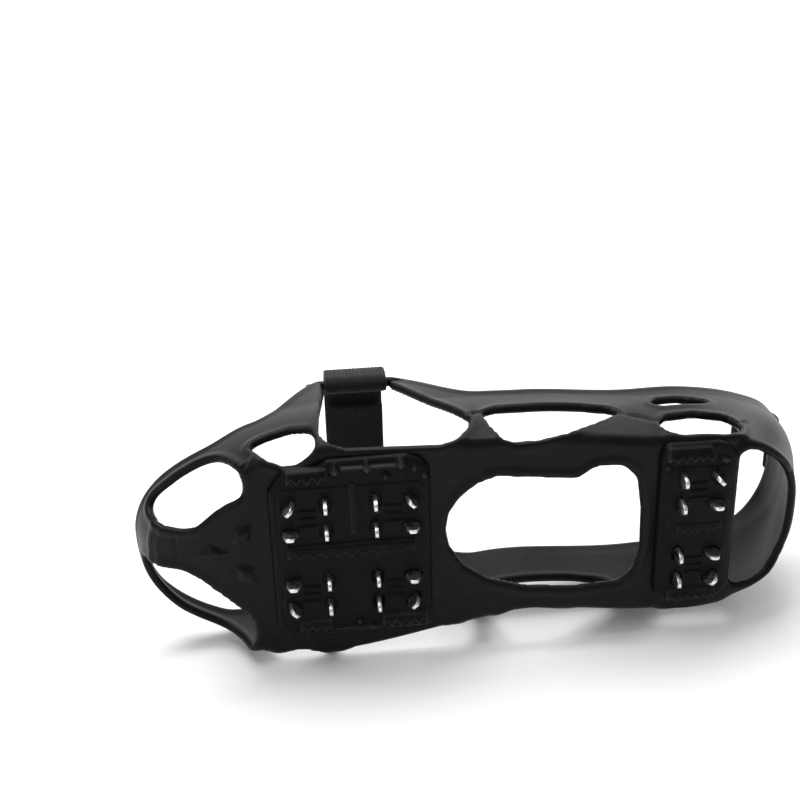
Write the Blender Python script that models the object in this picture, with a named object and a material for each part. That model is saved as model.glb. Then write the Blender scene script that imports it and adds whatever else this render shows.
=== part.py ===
"""One ice cleat: a rubber overshoe with steel teeth that pulls over a walking boot.

The cleat lies on its inner side, the way it lies when the boot in it is laid down: the foot runs
along X with the toe at -X, the tread faces -Y, the boot goes in from +Y, and +Z is the outer side
of a left foot. In the code x runs along the foot from the forefoot pad's centre, y is the height
above the rubber web's tread side, and z is across the foot. All sizes are millimetres.
"""

import math

import bpy
import bmesh
import numpy as np

MM = 0.001
GAP = 0.3          # between two pieces that touch, or between neighbouring runs of the moulding

# Overall sizes of the stretched harness
TOE_REACH = 98.0        # forefoot pad centre to the toe end
PAD_SPACING = 167.0     # forefoot pad centre to heel pad centre
HEEL_REACH = 53.0       # heel pad centre to the heel end
FOREFOOT_OUTER = 56.0   # half widths, outer (+z) and inner (-z) side
FOREFOOT_INNER = 61.0
WAIST_OUTER = 53.0
WAIST_INNER = 45.0
HEEL_OUTER = 48.0
HEEL_INNER = 50.0
END_POWER = 2.5         # how square the toe and heel ends are
OUTER_TOE_POWER = 2.0   # the outer side tapers sooner, as the small toes do

# Rubber moulding
WALL = 3.0
EDGE_RADIUS = 5.0       # between web and side wall
TOE_SPRING = 10.0       # rise of the web at the toe end
SPRING_START = 50.0     # distance in front of the pad centre where that rise begins
TOE_LEAN = 5.0          # how far the toe wall leans out
HEEL_LEAN = 16.0        # how far the heel wall leans back
LEAN_HEIGHT = 60.0
WALL_BULGE = 2.0
TAPER = 0.0011          # pull-in of the wall over the boot's upper, per mm squared
TAPER_START = 25.0
TOE_RIM = 32.0          # rim heights
VAMP_RIM = 33.0
WAIST_RIM = 57.0
HEEL_RIM = 61.0
BACK_RIM = 70.0
RIM_BAND = 12.0         # height of the rim left above the toe windows
TONGUE_HALF = 11.0      # half width of the web's tongue under the toes
TONGUE_SHIFT = 4.0      # how far that tongue lies towards the outer side
VENT_SETBACK = 7.2      # from the strap's front arm to the side vent in front of it
VENT_LENGTH = 22.5

# Strap bars and straps
BAR_HEIGHT = 80.0
BAR_RADIUS = 2.5
BAR_X = 9.0             # middle of the strap, along the foot
STRAP_WIDTH = 32.0
STRAP_THICK = 1.7
STRAP_CLEAR = 0.4       # webbing to bar
STRAP_SIDE_CLEAR = 0.8  # webbing to the arms beside it
STRAP_RISE = 30.0       # crest of the strap above its bars
ARCH_POWER = 0.72       # how square the strap's arch is
TAPE_THICK = 1.0        # hook tape and loop tape
OUTER_STRAP_END = -26.0  # z where the outer strap's free end lies
INNER_STRAP_END = 24.0
TAPE_MARGIN = 2.0       # tape edge to webbing edge

# Tread plates and steel
TREAD_THICK = 3.7
PAD_HALF_LENGTH = 38.0
PAD_OUTER = 50.0
PAD_INNER = 46.0
PAD_CORNER = 9.0
HEEL_PAD_HALF_LENGTH = 19.5
HEEL_PAD_OUTER = 46.0
HEEL_PAD_INNER = 43.0
LUG_HEIGHT = 2.6
TOE_LUG_LENGTH = 14.5
TOE_LUG_WIDTH = 8.0
STEEL_THICK = 1.3
TOOTH_PITCH_X = 17.0
TOOTH_PITCH_Z = 13.9
STAMP_GAP_X = 40.3      # centre to centre of the forefoot stampings
STAMP_GAP_Z = 41.3
TOOTH_WIDTH = 7.0
TOOTH_HEIGHT = 8.2      # above the tread plate
TOOTH_THICK = 1.8
TOOTH_TIP_RADIUS = 1.9
STAMP_MARGIN = 4.6      # steel beyond the tooth centres

# Heel pull tab
TAB_WIDTH = 24.0
TAB_THICK = 3.4
TAB_RISE = 37.0
TAB_BULGE = 9.0

STATIONS = 44           # steps along the foot of the moulded shell
HEEL_END = PAD_SPACING + HEEL_REACH
LENGTH = TOE_REACH + HEEL_END
TREAD_FACE = -(GAP + TREAD_THICK)


def clear_scene():
    for old in list(bpy.data.objects):
        bpy.data.objects.remove(old, do_unlink=True)


def material(name, color, roughness, metallic=0.0):
    mat = bpy.data.materials.new(name)
    mat.use_nodes = True
    shader = mat.node_tree.nodes["Principled BSDF"]
    shader.inputs["Base Color"].default_value = (*color, 1.0)
    shader.inputs["Roughness"].default_value = roughness
    shader.inputs["Metallic"].default_value = metallic
    return mat


def smooth_step(t):
    t = np.clip(t, 0.0, 1.0)
    return t * t * (3.0 - 2.0 * t)


def smooth_through(x, points):
    """Height at x of a curve that eases from each point to the next."""
    xs, ys = (np.array(c, float) for c in zip(*points))
    i = np.clip(np.searchsorted(xs, x) - 1, 0, len(xs) - 2)
    t = smooth_step((x - xs[i]) / (xs[i + 1] - xs[i]))
    return ys[i] + t * (ys[i + 1] - ys[i])


# ------------------------------------------------------------------ the harness surface

WAIST_X = 0.55 * PAD_SPACING


def half_width(x, side):
    """Half width of the web at x: eased forefoot, waist and heel widths with superellipse ends."""
    fore, waist, heel = (
        (FOREFOOT_OUTER, WAIST_OUTER, HEEL_OUTER) if side > 0
        else (FOREFOOT_INNER, WAIST_INNER, HEEL_INNER)
    )
    width = smooth_through(x, [(-20.0, fore), (WAIST_X, waist), (PAD_SPACING - 15.0, heel)])
    toe_power = OUTER_TOE_POWER if side > 0 else END_POWER
    toe = np.clip(-x / TOE_REACH, 0.0, 1.0) ** toe_power
    end = np.clip((x - PAD_SPACING + 7.0) / (HEEL_REACH + 7.0), 0.0, 1.0) ** END_POWER
    return width * (1.0 - toe) ** (1.0 / toe_power) * (1.0 - end) ** (1.0 / END_POWER)


def rim_height(x):
    """Top edge of the moulding at x, the same on both sides."""
    arm = STRAP_WIDTH / 2 + STRAP_SIDE_CLEAR
    top = BAR_HEIGHT + BAR_RADIUS + 2.0
    return smooth_through(x, [
        (-TOE_REACH, TOE_RIM), (-TOE_REACH + 12.0, TOE_RIM + 1.5),
        (-0.68 * TOE_REACH, VAMP_RIM), (-0.46 * TOE_REACH, VAMP_RIM + 8.0),
        (BAR_X - arm, top), (BAR_X + arm, top),
        (BAR_X + arm + 44.0, WAIST_RIM + 1.0), (WAIST_X + 10.0, WAIST_RIM),
        (PAD_SPACING, HEEL_RIM), (HEEL_END - 22.0, HEEL_RIM + 1.0), (HEEL_END, BACK_RIM),
    ])


def web_rise(x):
    """How far toe spring lifts the web at x."""
    t = np.clip((-x - SPRING_START) / (TOE_REACH - SPRING_START), 0.0, 1.0)
    return TOE_SPRING * t * t


def station_x(count):
    """Stations along the foot, closer together at the round ends."""
    turn = np.linspace(0.0, math.pi, count + 1)
    return -TOE_REACH + LENGTH * (1.0 - np.cos(turn)) / 2.0


def shell_point(x, out_x, out_z, z, y):
    """The point y above the web on the wall that stands on the outline at (x, z)."""
    shift = WALL_BULGE * np.sin(np.clip(y / 50.0, 0.0, 1.0) * math.pi)
    shift = shift - TAPER * np.clip(y - TAPER_START, 0.0, None) ** 2
    lift = smooth_step(y / LEAN_HEIGHT)
    lean = HEEL_LEAN * smooth_step((x - HEEL_END + 45.0) / 45.0) * lift
    lean = lean - TOE_LEAN * smooth_step((-x - TOE_REACH + 40.0) / 40.0) * smooth_step(y / 30.0)
    return np.stack([x + out_x * shift + lean, y, z + out_z * shift], axis=-1)


def shell_rows(side, sole_steps=3, edge_steps=3, wall_steps=6):
    """Grid of points from the spine out over the web, round the edge and up one side wall."""
    x = station_x(STATIONS)
    z = side * half_width(x, side)
    ring_x = np.concatenate([[x[1]], x, [x[-2]]])
    ring_z = np.concatenate([[-z[1]], z, [-z[-2]]])
    dx, dz = (np.gradient(c)[1:-1] for c in (ring_x, ring_z))
    norm = np.hypot(dx, dz)
    out_x, out_z = -side * dz / norm, side * dx / norm
    rise = web_rise(x)
    spine_x = -TOE_REACH + 38.0 + (x + TOE_REACH) * (LENGTH - 74.0) / LENGTH
    rows = []
    foot_x, foot_z = x - out_x * EDGE_RADIUS, z - out_z * EDGE_RADIUS
    for t in np.linspace(0.0, 1.0, sole_steps + 1):
        px = spine_x + t * (foot_x - spine_x)
        rows.append(np.stack([px, web_rise(px), t * foot_z], axis=-1))
    for angle in np.linspace(0.0, math.pi / 2, edge_steps + 1)[1:]:
        inward = EDGE_RADIUS * (1.0 - math.sin(angle))
        up = EDGE_RADIUS * (1.0 - math.cos(angle))
        rows.append(np.stack([x - out_x * inward, rise + up, z - out_z * inward], axis=-1))
    top = rim_height(x)
    start = rise + EDGE_RADIUS
    for t in np.linspace(0.0, 1.0, wall_steps + 1)[1:]:
        blend = shell_point(x, out_x, out_z, z, start + t * (top - start))
        base = shell_point(x, out_x, out_z, z, start)
        level = np.stack([x, start, z], axis=-1)
        rows.append(blend + (1.0 - t) * (level - base))
    return np.stack(rows, axis=1)


def shell_mesh():
    """The whole moulding as one open sheet, its normals outward."""
    mesh = bmesh.new()
    for side in (1.0, -1.0):
        rows = shell_rows(side) * MM
        grid = [[mesh.verts.new(p) for p in row] for row in rows]
        for a, b in zip(grid[:-1], grid[1:]):
            for j in range(len(a) - 1):
                quad = (a[j], b[j], b[j + 1], a[j + 1])
                mesh.faces.new(quad if side > 0 else quad[::-1])
    bmesh.ops.remove_doubles(mesh, verts=mesh.verts, dist=0.02 * MM)
    data = bpy.data.meshes.new("harness_sheet")
    mesh.to_mesh(data)
    mesh.free()
    return data


# ------------------------------------------------------------------ building helpers

ROOT_NAME = "cleat"


def add_object(name, data, mat=None, parent=None, location=(0.0, 0.0, 0.0)):
    piece = bpy.data.objects.new(name, data)
    bpy.context.scene.collection.objects.link(piece)
    piece.parent = parent or bpy.data.objects[ROOT_NAME]
    piece.location = [c * MM for c in location]
    if mat:
        data.materials.clear()
        data.materials.append(mat)
    return piece


def hide_cutter(piece):
    piece.hide_render = True
    piece.display_type = "WIRE"
    return piece


def round_corners(points, radius, steps=4):
    """A polygon with each corner rounded, radius limited by the sides that meet there."""
    out = []
    count = len(points)
    for i, corner in enumerate(points):
        corner = np.array(corner, float)
        before = np.array(points[i - 1], float) - corner
        after = np.array(points[(i + 1) % count], float) - corner
        room_a, room_b = np.linalg.norm(before), np.linalg.norm(after)
        before, after = before / room_a, after / room_b
        angle = math.acos(np.clip(before @ after, -1.0, 1.0))
        cut = min(radius / math.tan(angle / 2), 0.45 * room_a, 0.45 * room_b)
        bend = cut * math.tan(angle / 2)
        middle = before + after
        centre = corner + middle / np.linalg.norm(middle) * (bend / math.sin(angle / 2))
        start, end = corner + before * cut - centre, corner + after * cut - centre
        for k in range(steps + 1):
            t = k / steps
            spoke = start * (1 - t) + end * t
            out.append(centre + spoke / np.linalg.norm(spoke) * bend)
    return out


def add_prism(mesh, outline, low, high, axis):
    """Extrude a closed outline between low and high along axis; outline runs along the others."""
    def place(p, level):
        if axis == "y":
            return (p[0] * MM, level * MM, p[1] * MM)
        if axis == "z":
            return (p[0] * MM, p[1] * MM, level * MM)
        return (level * MM, p[0] * MM, p[1] * MM)

    rings = [[mesh.verts.new(place(p, level)) for p in outline] for level in (low, high)]
    faces = [mesh.faces.new(rings[0]), mesh.faces.new(rings[1][::-1])]
    count = len(outline)
    for i in range(count):
        j = (i + 1) % count
        faces.append(mesh.faces.new((rings[0][i], rings[1][i], rings[1][j], rings[0][j])))
    bmesh.ops.recalc_face_normals(mesh, faces=faces)


def prisms_object(name, prisms, mat=None, parent=None, location=(0.0, 0.0, 0.0)):
    """One object from a list of (outline, low, high, axis) prisms."""
    mesh = bmesh.new()
    for prism in prisms:
        add_prism(mesh, *prism)
    data = bpy.data.meshes.new(name)
    mesh.to_mesh(data)
    mesh.free()
    return add_object(name, data, mat, parent, location)


def add_boolean(piece, other, operation, solver="EXACT"):
    modifier = piece.modifiers.new(operation.lower(), "BOOLEAN")
    modifier.operation = operation
    modifier.solver = solver
    modifier.object = other


def rectangle(x0, x1, z0, z1):
    return [(x0, z0), (x1, z0), (x1, z1), (x0, z1)]


def mirrored(outline):
    return [(x, -z) for x, z in outline]


# ------------------------------------------------------------------ windows of the moulding

def toe_window(side):
    """Plan of the opening beside the toe tongue; its far side runs past the outline."""
    width = FOREFOOT_OUTER if side > 0 else FOREFOOT_INNER
    near, shoulder, far = TONGUE_HALF + side * TONGUE_SHIFT, width - 20.0, width + 25.0
    return round_corners([
        (-TOE_REACH + 5.0, near), (-TOE_REACH + 21.0, near),
        (-PAD_HALF_LENGTH - 25.0, (near + shoulder) / 2), (-PAD_HALF_LENGTH - 12.0, shoulder - 3.0),
        (-PAD_HALF_LENGTH - 10.0, shoulder + 4.0), (-PAD_HALF_LENGTH - 14.0, far),
        (-TOE_REACH - 5.0, far),
    ], 5.0)


def waist_window():
    """Plan of the large opening between the two pads."""
    left, right = PAD_HALF_LENGTH + 8.0, PAD_SPACING - 28.0
    outer, inner = WAIST_OUTER - 19.0, -(WAIST_INNER - 17.0)
    return round_corners([
        (left, 3.0), (left + 7.0, outer - 6.0), (left + 24.0, outer), (right - 29.0, outer - 3.0),
        (right - 23.0, outer + 3.0), (right - 5.0, outer + 3.0), (right, outer - 10.0),
        (right, inner + 12.0), (right - 9.0, inner), (left + 30.0, inner + 1.0),
        (left + 12.0, inner + 13.0),
    ], 7.0)


def heel_window():
    """Plan of the opening under the heel; it runs out through the back below the heel band."""
    start = PAD_SPACING + HEEL_PAD_HALF_LENGTH + 1.5
    return round_corners([
        (start, -(HEEL_INNER - 11.0)), (start, HEEL_OUTER - 9.0), (HEEL_END - 12.0, HEEL_OUTER - 13.0),
        (HEEL_END + 30.0, 20.0), (HEEL_END + 30.0, -22.0), (HEEL_END - 12.0, -(HEEL_INNER - 15.0)),
    ], 6.0)


def vent_rear():
    """Where the side vent ends, in front of the strap's front arm."""
    return BAR_X - STRAP_WIDTH / 2 - STRAP_SIDE_CLEAR - VENT_SETBACK


def side_windows():
    """Elevations (x, y) of the side wall's openings, front to back, and how far in each one cuts."""
    arm = STRAP_WIDTH / 2 + STRAP_SIDE_CLEAR
    over, lip = BAR_HEIGHT + 40.0, EDGE_RADIUS - 0.5
    front_x, rear_x = BAR_X - arm, BAR_X + arm
    vent_x = vent_rear()
    vent = [
        (vent_x - VENT_LENGTH, 17.0), (vent_x - VENT_LENGTH + 4.5, -6.0), (vent_x - 6.0, -6.0),
        (vent_x, 4.0), (vent_x, 19.0), (vent_x - 14.0, 21.0),
    ]
    big = [
        (front_x - 4.0, 14.0), (front_x + 4.0, lip), (rear_x + 18.0, lip), (rear_x + 29.0, 15.0),
        (rear_x + 29.0, 26.0), (rear_x, BAR_HEIGHT - 6.0), (rear_x, over), (front_x, over),
        (front_x, BAR_HEIGHT - 12.0), (front_x - 5.0, 25.0),
    ]
    slot_x = rear_x + 41.0
    long_slot = [
        (slot_x, 22.0), (slot_x + 5.0, -1.0), (slot_x + 30.0, 1.0), (slot_x + 52.0, 15.0),
        (slot_x + 64.0, 25.0), (slot_x + 52.0, 29.0), (slot_x + 4.0, 29.0),
    ]
    heel_low = [
        (PAD_SPACING - 14.0, 9.0), (PAD_SPACING - 9.0, 1.0), (PAD_SPACING + 12.0, 1.0),
        (PAD_SPACING + 22.0, 12.0), (PAD_SPACING + 17.0, 20.0), (PAD_SPACING - 9.0, 19.0),
    ]
    heel_high = [
        (PAD_SPACING - 13.0, 33.0), (PAD_SPACING + 17.0, 29.5),
        (PAD_SPACING + 11.0, 38.0), (PAD_SPACING - 7.0, 42.0),
    ]
    return [(vent, 10.0), (big, 16.0), (long_slot, 5.0), (heel_low, 5.0), (heel_high, 20.0)]


def window_cutters():
    """Every opening as a prism: plan ones upwards, side ones from just inside the web's edge."""
    toe_top = VAMP_RIM - RIM_BAND
    plan = [(waist_window(), -15.0, 25.0, "y"), (heel_window(), -15.0, 8.0, "y")]
    for side in (1.0, -1.0):
        outline = toe_window(side)
        plan.append((outline if side > 0 else mirrored(outline), -15.0, toe_top, "y"))
    sides = []
    for side in (1.0, -1.0):
        for outline, inward in side_windows():
            rounded = round_corners(outline, 4.0)
            middle = np.mean([p[0] for p in outline])
            start = float(half_width(np.array([middle]), side)[0]) - inward
            start = max(start, 20.0)
            sides.append((rounded, *sorted((side * start, side * (start + 60.0))), "z"))
    return (
        hide_cutter(prisms_object("cut_plan_windows", plan)),
        hide_cutter(prisms_object("cut_side_windows", sides)),
    )


# ------------------------------------------------------------------ the moulding, run by run

def moulding_runs():
    """Plan outlines that divide the one moulding into simple runs, GAP apart; the front one
    ends halfway along the side vents."""
    far = 160.0
    front, middle, back = vent_rear() - VENT_LENGTH / 2, WAIST_X + 8.0, PAD_SPACING + 25.0
    fore_end, heel_start = PAD_HALF_LENGTH + 14.0, PAD_SPACING - 25.0
    flat_o, flat_i = FOREFOOT_OUTER - 12.0, FOREFOOT_INNER - 13.0
    heel_o, heel_i = HEEL_OUTER - 12.0, HEEL_INNER - 13.0
    half = GAP / 2

    def side_front(flat):
        return [(front + GAP, flat + GAP), (fore_end + GAP, flat + GAP), (fore_end + GAP, half),
                (middle, half), (middle, far), (front + GAP, far)]

    def side_rear(flat):
        return [(middle + GAP, half), (heel_start, half), (heel_start, flat + GAP),
                (back, flat + GAP), (back, far), (middle + GAP, far)]

    return {
        "toe_cap": rectangle(-far, front, -far, far),
        "forefoot_web": rectangle(front + GAP, fore_end, -flat_i, flat_o),
        "outer_front_side": side_front(flat_o),
        "inner_front_side": mirrored(side_front(flat_i)),
        "outer_rear_side": side_rear(heel_o),
        "inner_rear_side": mirrored(side_rear(heel_i)),
        "heel_web": rectangle(heel_start + GAP, back, -heel_i, heel_o),
        "heel_band": rectangle(back + GAP, HEEL_END + far, -far, far),
    }


def diamond(x, z, length, width, turn):
    c, s = math.cos(turn), math.sin(turn)
    corners = [(-length / 2, 0.0), (0.0, -width / 2), (length / 2, 0.0), (0.0, width / 2)]
    return [(x + c * u - s * v, z + s * u + c * v) for u, v in corners]


def toe_lugs():
    """Three diamonds under the toe, each set half its root into the rising web."""
    prisms = []
    for x, z, turn in ((-51.0, 12.0, 0.05), (-66.0, 2.5, 0.0), (-51.0, -9.5, -0.05)):
        rise = float(web_rise(np.array([x]))[0])
        outline = diamond(x, z, TOE_LUG_LENGTH, TOE_LUG_WIDTH, turn)
        prisms.append((outline, rise - LUG_HEIGHT, rise + WALL / 2, "y"))
    return prisms


def build_moulding(rubber):
    sheet = shell_mesh()
    plan_cut, side_cut = window_cutters()
    toe_marks = hide_cutter(prisms_object("lugs_toe", toe_lugs()))
    for name, outline in moulding_runs().items():
        top = 2 * EDGE_RADIUS + TOE_SPRING if name.endswith("_web") else BAR_HEIGHT + 120.0
        block = hide_cutter(prisms_object("run_" + name, [(outline, -60.0, top, "y")]))
        piece = add_object(name, sheet.copy(), rubber)
        wall = piece.modifiers.new("wall", "SOLIDIFY")
        wall.thickness = WALL * MM
        wall.offset = -1.0
        wall.use_even_offset = True
        add_boolean(piece, block, "INTERSECT")
        add_boolean(piece, plan_cut, "DIFFERENCE")
        add_boolean(piece, side_cut, "DIFFERENCE", "MANIFOLD")
        if name == "toe_cap":
            add_boolean(piece, toe_marks, "UNION")


# ------------------------------------------------------------------ tread plates and steel

def stampings():
    """Each steel stamping: name, centre x and z, and its four teeth (dx, dz, turn in degrees)."""
    plates = []
    step_x, step_z = TOOTH_PITCH_X / 2, TOOTH_PITCH_Z / 2
    for label_x, sx in (("front", -1.0), ("rear", 1.0)):
        for label_z, sz in (("outer", 1.0), ("inner", -1.0)):
            teeth = [
                (-sx * step_x, step_z, 90.0), (-sx * step_x, -step_z, 90.0),
                (sx * step_x, -sz * step_z, 0.0), (sx * step_x, sz * step_z, -sx * sz * 45.0),
            ]
            place = (sx * STAMP_GAP_X / 2, sz * STAMP_GAP_Z / 2)
            plates.append((f"forefoot_{label_x}_{label_z}_teeth", *place, teeth))
    for label_z, sz in (("outer", 1.0), ("inner", -1.0)):
        teeth = [
            (-step_x, step_z, 90.0), (-step_x, -step_z, 90.0),
            (step_x, -sz * step_z, 0.0), (step_x, sz * step_z, -sz * 45.0),
        ]
        plates.append((f"heel_{label_z}_teeth", PAD_SPACING, sz * STAMP_GAP_Z / 2, teeth))
    return plates


def tooth_outline():
    """Side view of a tooth, a triangle with a round tip, as (across, y)."""
    base, tip = -GAP - 0.8, TREAD_FACE - TOOTH_HEIGHT
    half, shoulder = TOOTH_WIDTH / 2, TREAD_FACE - 1.5
    left = [(-half, base), (-half, shoulder), (-TOOTH_TIP_RADIUS * 1.2, tip + TOOTH_TIP_RADIUS * 0.8)]
    nose = [(-TOOTH_TIP_RADIUS * 0.6, tip + 0.2), (TOOTH_TIP_RADIUS * 0.6, tip + 0.2)]
    return left + nose + [(-u, y) for u, y in left[::-1]]


def turned_prism(mesh, outline, thick, x, z, degrees):
    """An outline (across, y) given a thickness, turned about y and put at (x, z)."""
    c, s = math.cos(math.radians(degrees)), math.sin(math.radians(degrees))
    rings = []
    for off in (-thick / 2, thick / 2):
        rings.append([
            mesh.verts.new(((x + c * u - s * off) * MM, y * MM, (z + s * u + c * off) * MM))
            for u, y in outline
        ])
    faces = [mesh.faces.new(rings[0]), mesh.faces.new(rings[1][::-1])]
    count = len(outline)
    for i in range(count):
        j = (i + 1) % count
        faces.append(mesh.faces.new((rings[0][i], rings[1][i], rings[1][j], rings[0][j])))
    bmesh.ops.recalc_face_normals(mesh, faces=faces)


def mesh_object(name, mesh, mat=None, parent=None, location=(0.0, 0.0, 0.0)):
    data = bpy.data.meshes.new(name)
    mesh.to_mesh(data)
    mesh.free()
    return add_object(name, data, mat, parent, location)


def stamp_outline(cx, cz, grow=0.0):
    half_x = TOOTH_PITCH_X / 2 + STAMP_MARGIN + grow
    half_z = TOOTH_PITCH_Z / 2 + STAMP_MARGIN + grow
    return round_corners(rectangle(cx - half_x, cx + half_x, cz - half_z, cz + half_z), 3.0, 2)


def build_steel(steel):
    top = -2 * GAP
    for name, cx, cz, teeth in stampings():
        blades = bmesh.new()
        for dx, dz, turn in teeth:
            turned_prism(blades, tooth_outline(), TOOTH_THICK, cx + dx, cz + dz, turn)
        cutter = hide_cutter(mesh_object("blades_" + name, blades))
        plate = prisms_object(name, [(stamp_outline(cx, cz), top - STEEL_THICK, top, "y")], steel)
        add_boolean(plate, cutter, "UNION")


def serrated_bar(x0, x1, z, width, teeth):
    """A bar along the foot whose lower edge is cut into zigzag teeth."""
    step = (x1 - x0) / (2 * teeth)
    edge = [(x0 + i * step, z - width / 2 + (1.8 if i % 2 else 0.0)) for i in range(2 * teeth + 1)]
    return edge + [(x1, z + width / 2), (x0, z + width / 2)]


def forefoot_lugs():
    face = TREAD_FACE
    tall, low = face - LUG_HEIGHT, face - 0.5 * LUG_HEIGHT
    outer, inner = PAD_OUTER - 4.0, -PAD_INNER + 4.0
    root = face + 0.8
    prisms = [
        (serrated_bar(-29.0, -9.5, outer - 4.5, 5.0, 4), tall, root, "y"),
        (rectangle(-3.3, 5.2, outer - 1.2, outer + 0.6), low, root, "y"),
        (rectangle(11.6, 23.8, outer - 1.2, outer + 0.6), low, root, "y"),
        (serrated_bar(-30.5, 30.0, 2.5, 4.5, 9), low, root, "y"),
        (rectangle(0.0, 2.2, 11.0, 34.0), low, root, "y"),
        (serrated_bar(-26.0, -11.5, inner + 2.5, 5.5, 3), tall, root, "y"),
        (serrated_bar(13.5, 35.0, inner + 3.0, 5.5, 4), tall, root, "y"),
    ]
    for x in (-6.5, 8.4, 27.0):
        prisms.append((diamond(x, outer - 0.3, 5.6, 6.4, 0.0), tall - 0.8, root, "y"))
    for x, z in ((17.0, outer - 6.0), (35.0, outer - 7.0), (2.0, inner + 1.0)):
        prisms.append((diamond(x, z, 5.0, 4.4, 0.0), low - 0.6, root, "y"))
    for cx in (-STAMP_GAP_X / 2, STAMP_GAP_X / 2):
        for cz in (-STAMP_GAP_Z / 2, STAMP_GAP_Z / 2):
            for k in (-1.0, 0.0, 1.0):
                prisms.append((rectangle(cx - 4.0, cx + 4.0, cz + 4.0 * k - 0.7, cz + 4.0 * k + 0.7),
                               low, root, "y"))
    return prisms


def heel_lugs():
    face = TREAD_FACE
    tall, low = face - LUG_HEIGHT, face - 0.5 * LUG_HEIGHT
    root = face + 0.8
    x0, x1 = PAD_SPACING - 16.0, PAD_SPACING + 8.0
    prisms = [
        (serrated_bar(x0, x1, HEEL_PAD_OUTER - 5.5, 6.0, 5), tall, root, "y"),
        (diamond(PAD_SPACING + 11.5, HEEL_PAD_OUTER - 10.0, 6.0, 3.6, -0.6), low, root, "y"),
        (serrated_bar(PAD_SPACING - 9.0, PAD_SPACING + 11.5, 0.0, 4.5, 5), low, root, "y"),
        (serrated_bar(x0 + 4.0, x1, -HEEL_PAD_INNER + 5.5, 5.5, 4), tall, root, "y"),
    ]
    for cz in (-STAMP_GAP_Z / 2, STAMP_GAP_Z / 2):
        for k in (-1.0, 0.0, 1.0):
            prisms.append((rectangle(PAD_SPACING - 4.0, PAD_SPACING + 4.0,
                                     cz + 4.0 * k - 0.7, cz + 4.0 * k + 0.7), low, root, "y"))
    return prisms


def forefoot_plate_outline():
    corners = rectangle(-PAD_HALF_LENGTH, PAD_HALF_LENGTH, -PAD_INNER, PAD_OUTER)
    return round_corners(corners, PAD_CORNER)


def heel_plate_outline():
    corners = rectangle(PAD_SPACING - HEEL_PAD_HALF_LENGTH, PAD_SPACING + HEEL_PAD_HALF_LENGTH,
                        -HEEL_PAD_INNER, HEEL_PAD_OUTER)
    return round_corners(corners, PAD_CORNER * 0.7)


def build_tread_plate(name, outline, lugs, mat):
    """A hard plate with its lugs, pockets for the steel and a slot for every tooth."""
    plate = prisms_object(name, [(outline, TREAD_FACE, -GAP, "y")], mat)
    add_boolean(plate, hide_cutter(prisms_object("lugs_" + name, lugs)), "UNION")
    pockets = []
    slots = bmesh.new()
    half = TOOTH_WIDTH / 2 + GAP
    deep = TREAD_FACE - TOOTH_HEIGHT
    opening = [(-half, 1.0), (-half, deep), (half, deep), (half, 1.0)]
    for stamp, cx, cz, teeth in stampings():
        if not stamp.startswith(name.split("_")[0]):
            continue
        pockets.append((stamp_outline(cx, cz, GAP), -2 * GAP - STEEL_THICK - GAP, 1.0, "y"))
        for dx, dz, turn in teeth:
            turned_prism(slots, opening, TOOTH_THICK + 2 * GAP, cx + dx, cz + dz, turn)
    add_boolean(plate, hide_cutter(prisms_object("pockets_" + name, pockets)), "DIFFERENCE")
    add_boolean(plate, hide_cutter(mesh_object("slots_" + name, slots)), "DIFFERENCE")


# ------------------------------------------------------------------ strap bars and straps

def bar_z(side):
    """Where the strap bar lies across the foot: on the middle of the wall's thickness."""
    width = float(half_width(np.array([BAR_X]), side)[0])
    pull = TAPER * (BAR_HEIGHT - TAPER_START) ** 2
    return side * (width - pull - WALL / 2)


def build_bar(name, side, mat):
    half = STRAP_WIDTH / 2 + STRAP_SIDE_CLEAR - GAP
    angles = np.linspace(0.0, 2 * math.pi, 14, endpoint=False)
    ring = [(BAR_HEIGHT + BAR_RADIUS * math.cos(a), bar_z(side) + BAR_RADIUS * math.sin(a))
            for a in angles]
    bar = prisms_object(name, [(ring, BAR_X - half, BAR_X + half, "x")], mat)
    bar.data.shade_smooth()
    bar.data.set_sharp_from_angle(angle=math.radians(40.0))


WRAP_RADIUS = BAR_RADIUS + STRAP_CLEAR + STRAP_THICK / 2
LOOP_TAPE_LIFT = WRAP_RADIUS + STRAP_THICK / 2 + GAP + TAPE_THICK / 2
HOOK_TAPE_LIFT = LOOP_TAPE_LIFT + TAPE_THICK + GAP
OUTER_STRAP_LIFT = HOOK_TAPE_LIFT + TAPE_THICK / 2 + GAP + STRAP_THICK / 2


def arch(lift, count=44):
    """The line over the instep from outer to inner bar as (y, z): a superellipse arch, raised
    by lift, which may change along it."""
    outer, inner = bar_z(1.0), bar_z(-1.0)
    centre, half = (outer + inner) / 2, (outer - inner) / 2
    angles = np.linspace(0.0, math.pi, count + 1)[1:-1]
    cosine, sine = np.cos(angles), np.sin(angles)
    z = half * np.sign(cosine) * np.abs(cosine) ** ARCH_POWER
    raised = lift(z + centre) if callable(lift) else lift
    z = (half + raised) * np.sign(cosine) * np.abs(cosine) ** ARCH_POWER
    y = BAR_HEIGHT + (STRAP_RISE + raised) * sine ** ARCH_POWER
    return np.stack([y, z + centre], axis=-1)


def over_lift(z):
    """Lift of the outer strap: on the bar at its own end, over the other strap further on."""
    ramp = smooth_step((INNER_STRAP_END + 20.0 - z) / 14.0)
    return WRAP_RADIUS + (OUTER_STRAP_LIFT - WRAP_RADIUS) * ramp


def bar_wrap(side):
    """The sewn end of a strap: from inside the bar, under it and up its outer face."""
    angles = np.radians(np.linspace(318.0, 90.0, 12))
    y = BAR_HEIGHT + WRAP_RADIUS * np.cos(angles)
    return np.stack([y, bar_z(side) + side * WRAP_RADIUS * np.sin(angles)], axis=-1)


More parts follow.
